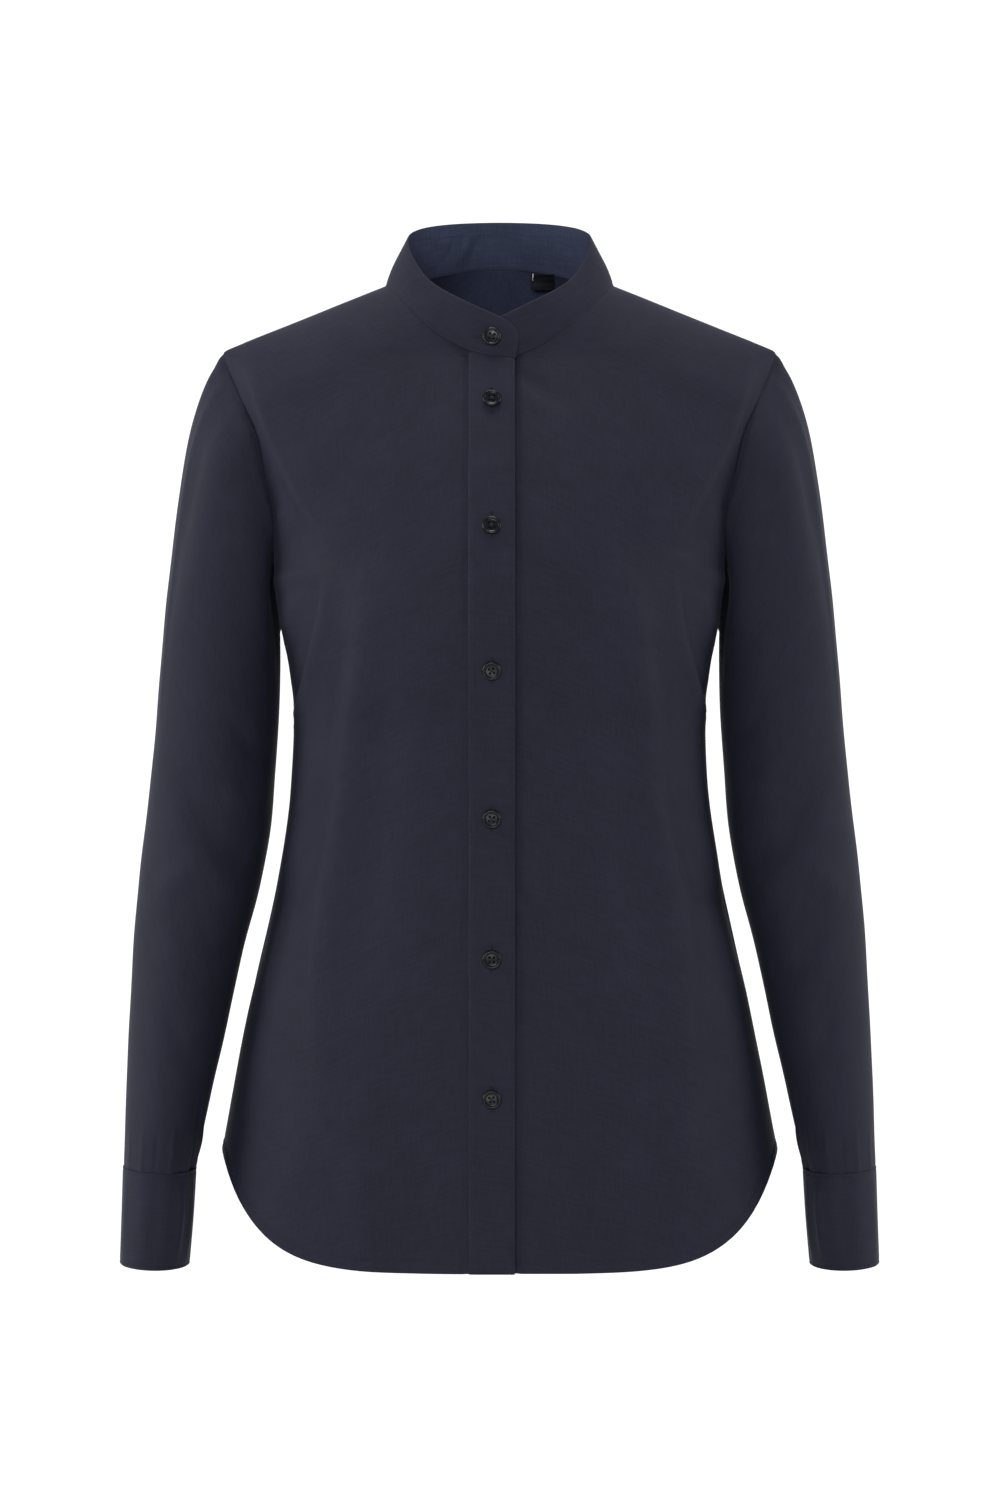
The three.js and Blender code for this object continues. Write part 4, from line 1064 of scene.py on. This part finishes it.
def cuff_sheet(side):
    """A cuff is a band that goes once round and laps over its own start at the back."""
    start, overlap, eased = CUFF_LAP["start"], CUFF_LAP["overlap"], CUFF_LAP["eased"]
    end = start + 360 + overlap
    degrees = np.linspace(start, end, CUFF_COLUMNS)
    under = LAYER * (1 - ease(start + overlap, start + overlap + eased, degrees))
    rows = []
    for place in CUFF_PLACES:
        point = cuff_point(place, np.radians(degrees))
        middle = (cuff_point(place, 0.0) + cuff_point(place, np.pi)) / 2
        inward = middle - point
        inward /= np.linalg.norm(inward, axis=1, keepdims=True)
        rows.append(mirrored(point + inward * under[:, None], side))
    rows = np.array(rows)
    folds = [
        {**fold, "path": [(at * CUFF_MM_PER_DEGREE, z) for at, z in fold["path"]]}
        for fold in CUFF_FOLDS
    ]
    round_it = np.broadcast_to(np.mod(degrees, 360) * CUFF_MM_PER_DEGREE, rows.shape[:2])
    lift = fold_lift(folds, round_it, rows[:, :, 2])
    down = run_lengths(rows, 0)
    for distance in (down, down[-1:] - down):
        lift += dip(distance, EDGE_STITCH, *CUFF_DIP)
    return Sheet(rows, flip=side > 0).move(lift)


rim_height = curve(RIM_ROWS, "angle", "z")


def collar_column(side, angle=None, beyond=None, from_end=None):
    """One column of the collar, at an angle from the centre front or a distance beyond it. Near
    its end, from_end millimetres away, the rim drops to round the corner."""
    taken_in = COLLAR_END["base"] / COLLAR_END["over"]
    low = math.radians(angle) if beyond is None else -math.asin(beyond * taken_in / NECK["half"])
    high = math.radians(angle) if beyond is None else -math.asin(beyond / RIM["half"])
    panel = FRONT if math.cos(low) > 0 else BACK
    x = NECK["half"] * math.sin(low)
    past = max(-x, 0) if side < 0 else 0
    z = -NECK["drop"] - PLACKET["tab_fall"] * past / PLACKET["free"] if past > 0 else panel["neck_z"](low)
    base = body_point(panel, across_at(panel, x, z), z)
    rim_depth = RIM["front"] if math.cos(high) > 0 else RIM["back"]
    rim = np.array([RIM["half"] * math.sin(high), -rim_depth * math.cos(high),
                    rim_height(math.degrees(high))])
    tall = np.linalg.norm(rim - base)
    corner = COLLAR_END["corner"]
    away = corner - (corner if from_end is None else from_end)
    dropped = corner - math.sqrt(max(corner ** 2 - away ** 2, 0)) if away > 0 else 0.0
    if side < 0:
        lapped = LAYER * (1 - ease(PLACKET["stitched"], UNDERLAP["eased_by"], x))
    else:
        lapped = -underlap_inset(x)
    lift = lapped if panel is FRONT else 0.0
    base = base + np.array([0, 0, COLLAR_RAISE * max(lift, 0)])
    out = np.array([math.sin(low), -math.cos(low), 0])
    part = np.linspace(0, 1, COLLAR_TIERS + 1) * (1 - dropped / tall)
    bow = 4 * RIM["bow"] * part * (1 - part)
    column = base + (rim - base) * part[:, None] + out * (lift + bow)[:, None]
    return mirrored(column, side)


def collar_sheet():
    """Columns go from the right end, which lies on top, round the back to the left end."""
    over, under = COLLAR_END["over"], COLLAR_END["under"]
    half_way = np.linspace(0, 180, round(180 / COLLAR_STEP["degrees"]) + 1)
    columns = [collar_column(-1, beyond=over - from_end, from_end=from_end)
               for from_end in np.arange(0, over, COLLAR_STEP["end"])]
    columns += [collar_column(-1, angle=angle) for angle in half_way]
    columns += [collar_column(1, angle=angle) for angle in half_way[-2::-1]]
    columns += [collar_column(1, beyond=under - from_end, from_end=from_end)
                for from_end in np.arange(0, under, COLLAR_STEP["end"])[::-1]]
    rows = np.array(columns).transpose(1, 0, 2)
    up = run_lengths(rows, 0)
    angle = np.degrees(np.arctan2(rows[0, :, 0], -rows[0, :, 1]))
    from_back = np.sign(rows[0, :, 0]) * (180 - np.abs(angle)) * COLLAR_MM_PER_DEGREE
    lift = fold_lift(COLLAR_FOLDS, np.broadcast_to(from_back, up.shape), up)
    lift += dip(up, EDGE_STITCH, *COLLAR_BASE_DIP) + dip(up[-1:] - up, RIM_STITCH, *COLLAR_RIM_DIP)
    return Sheet(rows).move(lift)


def placket_sheet():
    """The button stand on the right front, from the free edge to its stitched edge."""
    x = np.linspace(-PLACKET["free"], PLACKET["stitched"], PLACKET_COLUMNS)
    angle = np.arcsin(x / NECK["half"])
    tab_top = -NECK["drop"] + PLACKET["tab_fall"] * x / PLACKET["free"]
    top = np.where(x > 0, FRONT["neck_z"](angle), tab_top)
    foot = FRONT["centre"](LAST_ROW) + np.zeros_like(x)
    rows = []
    for part in np.linspace(0, 1, PLACKET_ROWS):
        z = lerp(top, foot, part)
        point = body_point(FRONT, across_at(FRONT, np.abs(x), z), z)
        point[:, 0] = x
        rows.append(mirrored(point, -1))
    sheet = Sheet(rows, flip=True)
    grid = sheet.grid()
    across = run_lengths(grid, 1)
    hem = edge_distances(sheet)[1]
    pucker = PLACKET_PUCKER["height"] * np.sin(grid[:, :, 2] * 2 * np.pi / PLACKET_PUCKER["pitch"])
    depth, width = PLACKET_DIP
    lift = dip(across[:, -1:] - across, 0, *PLACKET_EDGE_DIP) + dip(hem, HEM_WIDTH, *PLACKET_HEM_DIP)
    for distance in (across, across[:, -1:] - across):
        lift += dip(distance, EDGE_STITCH, depth + pucker, width)
    lift += fold_lift(PLACKET_FOLDS, -grid[:, :, 0], grid[:, :, 2])
    return sheet.move(spread(sheet, lift))


def offset_line(sheet, edge, distance, height):
    """A line of points along the cloth at a distance from one of its edges, with the way out there."""
    grid, facing = sheet.grid(), sheet.normals[sheet.numbers]
    if edge in ("first column", "last column"):
        grid, facing = grid.transpose(1, 0, 2), facing.transpose(1, 0, 2)
    if edge in ("last row", "last column"):
        grid, facing = grid[::-1], facing[::-1]
    lengths = run_lengths(grid, 0)
    points, outward = [], []
    for j in range(grid.shape[1]):
        at = np.interp(distance, lengths[:, j], np.arange(len(grid)))
        i = min(int(at), len(grid) - 2)
        out = lerp(facing[i, j], facing[i + 1, j], at - i)
        points.append(lerp(grid[i, j], grid[i + 1, j], at - i) + out * height)
        outward.append(out)
    return np.array(points), np.array(outward)


def stitch_tree():
    """Stitches laid along every line, with their sizes as named inputs."""
    tree = bpy.data.node_groups.new("stitches_along_lines", "GeometryNodeTree")
    tree.interface.new_socket("Lines", in_out="INPUT", socket_type="NodeSocketGeometry")
    for name in ("Pitch", "Length", "Width", "Height"):
        tree.interface.new_socket(name, in_out="INPUT", socket_type="NodeSocketFloat")
    tree.interface.new_socket("Thread", in_out="INPUT", socket_type="NodeSocketMaterial")
    tree.interface.new_socket("Stitches", in_out="OUTPUT", socket_type="NodeSocketGeometry")
    given = add_node(tree, "NodeGroupInput").outputs
    lines = add_node(tree, "GeometryNodeMeshToCurve", {"Mesh": given["Lines"]})
    places = add_node(tree, "GeometryNodeResampleCurve", {"Curve": lines.outputs["Curve"],
                                                          "Length": given["Pitch"]}, mode="LENGTH")
    size = add_node(tree, "ShaderNodeCombineXYZ", {"X": given["Length"], "Y": given["Width"],
                                                   "Z": given["Height"]})
    ball = add_node(tree, "GeometryNodeMeshUVSphere", {"Segments": 6, "Rings": 5, "Radius": 0.5})
    stitch = add_node(tree, "GeometryNodeTransform", {"Geometry": ball.outputs["Mesh"],
                                                      "Scale": size.outputs["Vector"]})
    facing = add_node(tree, "GeometryNodeInputNamedAttribute", {"Name": "facing"},
                      data_type="FLOAT_VECTOR")
    outward = add_node(tree, "FunctionNodeAlignRotationToVector",
                       {"Vector": facing.outputs["Attribute"]}, axis="Z")
    along = add_node(tree, "FunctionNodeAlignRotationToVector", {
        "Rotation": outward.outputs["Rotation"],
        "Vector": add_node(tree, "GeometryNodeInputTangent").outputs["Tangent"],
    }, axis="X", pivot_axis="Z")
    laid = add_node(tree, "GeometryNodeInstanceOnPoints", {
        "Points": places.outputs["Curve"],
        "Instance": stitch.outputs["Geometry"],
        "Rotation": along.outputs["Rotation"],
    })
    real = add_node(tree, "GeometryNodeRealizeInstances", {"Geometry": laid.outputs["Instances"]})
    smooth = add_node(tree, "GeometryNodeSetShadeSmooth", {"Geometry": real.outputs["Geometry"]})
    thread = add_node(tree, "GeometryNodeSetMaterial", {"Geometry": smooth.outputs["Geometry"],
                                                        "Material": given["Thread"]})
    add_node(tree, "NodeGroupOutput", {"Stitches": thread.outputs["Geometry"]})
    return tree


def stitched(name, lines, sizes, thread):
    """Stitches of one kind on all these lines, as a plain mesh."""
    points, outward, edges = [], [], []
    for line, facing in lines:
        start = len(points)
        points += (line * MM).tolist()
        outward += facing.tolist()
        edges += [(start + i, start + i + 1) for i in range(len(line) - 1)]
    mesh = bpy.data.meshes.new(f"{name}_lines")
    mesh.from_pydata(points, edges, [])
    mesh.attributes.new("facing", "FLOAT_VECTOR", "POINT").data.foreach_set(
        "vector", np.array(outward).ravel())
    holder = bpy.data.objects.new(f"{name}_lines", mesh)
    bpy.context.collection.objects.link(holder)
    modifier = holder.modifiers.new("stitches", "NODES")
    modifier.node_group = stitches
    sockets = {item.name: item.identifier for item in stitches.interface.items_tree
               if item.in_out == "INPUT"}
    for size, value in sizes.items():
        modifier[sockets[size.capitalize()]] = value * MM
    modifier[sockets["Thread"]] = thread
    holder.data.update()
    shown = holder.evaluated_get(bpy.context.evaluated_depsgraph_get())
    plain = bpy.data.meshes.new_from_object(shown)
    plain.name = name
    bpy.data.objects.remove(holder)
    return add_piece(name, plain, "cloth")


def surface_at(sheet, x, z, height=0.0):
    """The place and facing of the cloth's foremost layer at a place in front view."""
    square_mm_around = 2
    used = np.unique(sheet.cells)
    gap = (sheet.points[used][:, 0] - x) ** 2 + (sheet.points[used][:, 2] - z) ** 2
    near = used[gap < gap.min() + square_mm_around]
    nearest = near[np.argmin(sheet.points[near][:, 1])]
    point, facing = sheet.points[nearest], sheet.normals[nearest]
    y = point[1] - ((x - point[0]) * facing[0] + (z - point[2]) * facing[2]) / facing[1]
    return np.array([x, y, z]) + facing * height, facing


def facing_at(sheet, place):
    """Which way the cloth faces where it is nearest to a place."""
    used = np.unique(sheet.cells)
    return sheet.normals[used[np.argmin(np.linalg.norm(sheet.points[used] - place, axis=1))]]


def buttonhole_line(sheet, x, z, upright, height):
    """A long narrow ring round a buttonhole, on the cloth."""
    side = BUTTONHOLE["width"] / 2
    half = BUTTONHOLE["length"] / 2 - side
    straight = np.linspace(-half, half, BUTTONHOLE["side_points"])
    edge = np.full(BUTTONHOLE["side_points"], side)
    turn = np.linspace(0, np.pi, BUTTONHOLE["end_points"])[1:-1]
    long_way = np.concatenate([straight, half + side * np.sin(turn), straight[::-1],
                               -half - side * np.sin(turn), [straight[0]]])
    short_way = np.concatenate([-edge, -side * np.cos(turn), edge, side * np.cos(turn), [-side]])
    if upright:
        places = zip(x + short_way, z + long_way)
    else:
        places = zip(x + long_way, z + short_way)
    found = [surface_at(sheet, px, pz, height) for px, pz in places]
    return np.array([point for point, _ in found]), np.array([facing for _, facing in found])


def turned_mesh(name, profile, sides):
    """A profile of radius and height turned round the Z axis; it starts and ends on the axis."""
    angles = np.arange(sides) * 2 * np.pi / sides
    points = [(0, 0, profile[0][1])]
    for radius, z in profile[1:-1]:
        points += [(radius * math.cos(a), radius * math.sin(a), z) for a in angles]
    points.append((0, 0, profile[-1][1]))
    last = len(points) - 1
    rings = len(profile) - 2
    faces = []
    for i in range(sides):
        after = (i + 1) % sides
        faces.append((0, 1 + after, 1 + i))
        for ring in range(rings - 1):
            low, high = 1 + ring * sides, 1 + (ring + 1) * sides
            faces.append((low + i, low + after, high + after, high + i))
        top = 1 + (rings - 1) * sides
        faces.append((top + i, top + after, last))
    mesh = bpy.data.meshes.new(name)
    mesh.from_pydata([tuple(value * MM for value in point) for point in points], [], faces)
    mesh.update()
    return mesh


def tube_mesh(name, paths, radius):
    """Round tubes with closed ends along paths, one mesh."""
    points, faces = [], []
    sides = TUBE_SIDES
    no_path_runs_so = np.array([0.3, 0.2, 0.93])
    for path in paths:
        path = np.asarray(path, float)
        along = np.gradient(path, axis=0)
        along /= np.linalg.norm(along, axis=1, keepdims=True)
        first = np.cross(along, no_path_runs_so)
        first /= np.linalg.norm(first, axis=1, keepdims=True)
        second = np.cross(along, first)
        start = len(points)
        for centre, u, v in zip(path, first, second):
            for k in range(sides):
                turn = 2 * math.pi * k / sides
                points.append(centre + radius * (u * math.cos(turn) + v * math.sin(turn)))
        for i in range(len(path) - 1):
            for k in range(sides):
                after = (k + 1) % sides
                a, b = start + i * sides, start + (i + 1) * sides
                faces.append((a + k, a + after, b + after, b + k))
        faces.append(tuple(start + k for k in reversed(range(sides))))
        faces.append(tuple(start + (len(path) - 1) * sides + k for k in range(sides)))
    mesh = bpy.data.meshes.new(name)
    mesh.from_pydata([tuple(float(value) * MM for value in point) for point in points], [], faces)
    mesh.update()
    mesh.shade_smooth()
    return mesh


def drilled_button():
    """A four-hole button with a rounded rim and a dished middle, its back at z = 0."""
    disc = bpy.data.objects.new("button_disc", turned_mesh("button_disc", BUTTON_PROFILE, BUTTON_SIDES))
    bpy.context.collection.objects.link(disc)
    drills = []
    for i in range(4):
        turn = math.pi / 4 + i * math.pi / 2
        radius, low, high = BUTTON_HOLE["radius"], DRILL["from"], DRILL["to"]
        drill = turned_mesh("drill", [(0, low), (radius, low), (radius, high), (0, high)], DRILL["sides"])
        tool = bpy.data.objects.new("drill", drill)
        bpy.context.collection.objects.link(tool)
        spread = BUTTON_HOLE["spread"] * MM
        tool.location = (spread * math.cos(turn), spread * math.sin(turn), 0)
        cut = disc.modifiers.new("hole", "BOOLEAN")
        cut.operation = "DIFFERENCE"
        cut.solver = "EXACT"
        cut.object = tool
        drills.append(tool)
    mesh = bpy.data.meshes.new_from_object(disc.evaluated_get(bpy.context.evaluated_depsgraph_get()))
    for tool in [disc, *drills]:
        bpy.data.objects.remove(tool)
    mesh.materials.clear()
    mesh.materials.append(button_resin)
    mesh.shade_smooth()
    mesh.set_sharp_from_angle(angle=math.radians(BUTTON_SHARP))
    return mesh


def node_middle(node):
    """The middle of a node's box, in millimetres."""
    low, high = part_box(node)
    return (np.array(low) + np.array(high)) / 2 / MM


def button_place(node, facing, turn=0.0):
    """Where a button sits: at its node's middle, its face the way that the cloth faces."""
    middle = Vector(node_middle(node) * MM)
    out = Vector(facing)
    side = Vector((0, 0, 1)).cross(out).normalized()
    up = out.cross(side)
    basis = Matrix((side, up, out)).transposed().to_4x4()
    return Matrix.Translation(middle) @ basis @ Matrix.Rotation(math.radians(turn), 4, "Z")


def thread_paths(place, scale):
    """The thread's crossing runs between the four holes of a button, slightly bowed."""
    spread = BUTTON_HOLE["spread"]
    paths = []
    for turn in (math.pi / 4, 3 * math.pi / 4):
        for beside in (-THREAD["beside"], THREAD["beside"]):
            path = []
            for part in np.linspace(-1, 1, THREAD["points"]):
                along = part * spread
                x = along * math.cos(turn) - beside * math.sin(turn)
                y = along * math.sin(turn) + beside * math.cos(turn)
                z = THREAD["top"] - THREAD["fall"] * part ** THREAD["flatness"] - THREAD["sunk"]
                local = Vector((x, y, z - BUTTON_PROFILE[-1][1] / 2)) * scale * MM
                path.append(np.array(place @ local) / MM)
            paths.append(path)
    return paths


def add_button(node, facing, scale=1.0, turn=0.0):
    """One button in its node's place; gives the paths of its thread."""
    place = button_place(node, facing, turn)
    half_thick = max(z for _, z in BUTTON_PROFILE) / 2
    mesh = button_disc.copy()
    mesh.name = node
    mesh.transform(place @ Matrix.Scale(scale, 4) @ Matrix.Translation((0, 0, -half_thick * MM)))
    add_piece(f"{node}_drilled", mesh, "button", node)
    return thread_paths(place, scale)


def label_sheet():
    """The small bare size tab: a tape folded at its foot, which hangs from the collar seam."""
    low, high = (np.array(corner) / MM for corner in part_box("neck_label"))
    radius = LABEL["fold_radius"]
    seam_z = high[2] + LABEL["raised"]
    leaf = np.linspace(seam_z, low[2] + radius, LABEL["leaf_points"])
    turn = np.linspace(0, np.pi, LABEL["turn_points"])[1:-1]
    z = np.concatenate([leaf, low[2] + radius - radius * np.sin(turn), leaf[::-1]])
    from_middle = np.full(len(leaf), radius)
    y = np.concatenate([-from_middle, -radius * np.cos(turn), from_middle])
    part = np.linspace(-1, 1, LABEL["across_points"])
    rows = []
    for depth, up in zip(y + (low[1] + high[1]) / 2, z):
        down = (seam_z - up) / (seam_z - low[2])
        across = (part + 1) / 2
        curl = LABEL["curl"] * down ** 2 * part ** 2 + LABEL["lean"] * max(up - high[2], 0)
        curl += LABEL["turned_in"] * across ** LABEL["turn_across"] * (1 - down) ** LABEL["turn_up"]
        x = lerp(low[0], high[0], across)
        rows.append(np.stack([x, depth - curl, np.full(len(part), up)], axis=-1))
    return Sheet(rows)


fronts = {"right": front_sheet(-1), "left": front_sheet(1)}
back = back_sheet()
collar = collar_sheet()
stand = placket_sheet()
add_cloth("back", back)
add_cloth("collar_band", collar, thick=THICK["collar"])
add_cloth("placket", stand, height=STAND_HEIGHT, thick=THICK["placket"])
cuffs = {}
for name, side in (("right", -1), ("left", 1)):
    add_cloth(f"front_{name}", fronts[name])
    add_cloth(f"sleeve_{name}", sleeve_sheet(fronts[name], back, side))
    cuffs[name] = cuff_sheet(side)
    add_cloth(f"cuff_{name}", cuffs[name], thick=THICK["cuff"])

# Lines of stitches: hem, placket edges, collar rim and base outside and inside, cuff edges
stitches = stitch_tree()
lines = [offset_line(sheet, "last row", HEM_WIDTH, STITCH_OVER) for sheet in (*fronts.values(), back)]
lines += [offset_line(stand, edge, EDGE_STITCH, STAND_HEIGHT + STITCH_OVER)
          for edge in ("first column", "last column")]
for height in (STITCH_OVER, -THICK["collar"] - STITCH_OVER):
    lines.append(offset_line(collar, "last row", RIM_STITCH, height))
    lines.append(offset_line(collar, "first row", EDGE_STITCH, height))
for cuff in cuffs.values():
    lines += [offset_line(cuff, edge, EDGE_STITCH, STITCH_OVER) for edge in ("first row", "last row")]
stitched("edge_stitching", lines, STITCH, navy_thread)

# Buttons, their threads and their buttonholes
button_disc = drilled_button()
threads, holes = [], []
for number, node in enumerate(BUTTONS):
    middle = node_middle(node)
    on_collar = node == "button_collar"
    over = BUTTONHOLE["over"]
    if on_collar:
        holes.append(buttonhole_line(collar, middle[0] - BUTTONHOLE["collar_shift"], middle[2], False, over))
    else:
        drop = BUTTONHOLE["first_drop"] if node == "button_front_1" else 0.0
        holes.append(buttonhole_line(stand, middle[0], middle[2] - drop, True, STAND_HEIGHT + over))
    facing = facing_at(collar if on_collar else stand, middle)
    turned_by_hand = (7 * number) % 23 - 11
    threads += add_button(node, facing, turn=turned_by_hand)
for name, cuff in cuffs.items():
    node = f"cuff_button_{name}"
    threads += add_button(node, facing_at(cuff, node_middle(node)), CUFF_BUTTON_SCALE)
thread_mesh = tube_mesh("button_threads", threads, THREAD["radius"])
thread_mesh.materials.append(navy_thread)
add_piece("button_threads", thread_mesh, "cloth")
stitched("buttonhole_stitching", holes, BUTTONHOLE_STITCH, navy_thread)

# The size tab and its tack
label = label_sheet()
tab = add_cloth("neck_label", label, thick=THICK["label"])
tab.data.materials[0] = label_satin
tab.data.materials[1] = label_satin
tack_x = label.points[:, 0].min() + TACK["in"]
tack_y = label.points[:, 1].min() - TACK["before"]
tack_z = label.points[:, 2].max() + TACK["above"]
tack_path = [(tack_x + TACK["wave"] * math.sin(k), tack_y, tack_z - TACK["step"] * k)
             for k in range(TACK["points"])]
tack = tube_mesh("label_tack", [tack_path], TACK["radius"])
tack.materials.append(white_thread)
add_piece("label_tack", tack, "label")


def look_at(obj, target):
    """Turns a lamp or camera to face a place."""
    obj.rotation_mode = "QUATERNION"
    obj.rotation_quaternion = (Vector(target) - obj.location).to_track_quat("-Z", "Y")


def add_camera():
    """The camera straight in front, tilted down a little at the shirt's middle."""
    lens = bpy.data.cameras.new("camera")
    lens.lens = CAMERA["lens"]
    lens.sensor_width = CAMERA["sensor"]
    camera = bpy.data.objects.new("camera", lens)
    bpy.context.collection.objects.link(camera)
    tilt = math.radians(CAMERA["elevation"])
    middle = Vector(CAMERA["middle"])
    camera.location = middle + Vector((0, -math.cos(tilt), math.sin(tilt))) * CAMERA["distance"]
    look_at(camera, middle)
    bpy.context.scene.camera = camera


def add_light(name, place, size, watts):
    """A softbox that faces the shirt."""
    light = bpy.data.lights.new(name, "AREA")
    light.shape = "RECTANGLE"
    light.size, light.size_y = size
    light.energy = watts
    lamp = bpy.data.objects.new(name, light)
    bpy.context.collection.objects.link(lamp)
    lamp.location = place
    look_at(lamp, LIGHTS_AIM)


def add_studio():
    """A pale floor, which far off turns into a lit white wall, under soft light from all sides."""
    profile = [(BACKDROP["near"], FLOOR_Z), (BACKDROP["bend"], FLOOR_Z), (WALL_Y, FLOOR_Z),
               (WALL_Y, BACKDROP["high"])]
    corners = [(x, y, z) for y, z in profile for x in (-BACKDROP["wide"], BACKDROP["wide"])]
    mesh = bpy.data.meshes.new("backdrop")
    mesh.from_pydata(corners, [], [(0, 1, 3, 2), (2, 3, 5, 4), (4, 5, 7, 6)])
    backdrop = bpy.data.objects.new("backdrop", mesh)
    bpy.context.collection.objects.link(backdrop)
    for name, colour, glow in (("pale_floor", "#C8C8C8", 0.0), ("lit_white_wall", "#8A8A8A", 0.9)):
        material, tree = new_material(name)
        shader = add_node(tree, "ShaderNodeBsdfPrincipled", {
            "Base Color": linear(colour),
            "Roughness": 0.9,
            "Specular IOR Level": 0.0,
            "Emission Color": linear("#FFFFFF"),
            "Emission Strength": glow,
        })
        finish_material(tree, shader)
        mesh.materials.append(material)
    mesh.polygons.foreach_set("material_index", [0, 1, 1])
    world = bpy.data.worlds.new("studio")
    world.use_nodes = True
    background = world.node_tree.nodes["Background"]
    background.inputs["Color"].default_value = linear("#FFFFFF")
    background.inputs["Strength"].default_value = WORLD_LIGHT
    bpy.context.scene.world = world
    bpy.context.scene.view_settings.view_transform = "Standard"
    for light in LIGHTS:
        add_light(**light)


add_camera()
add_studio()
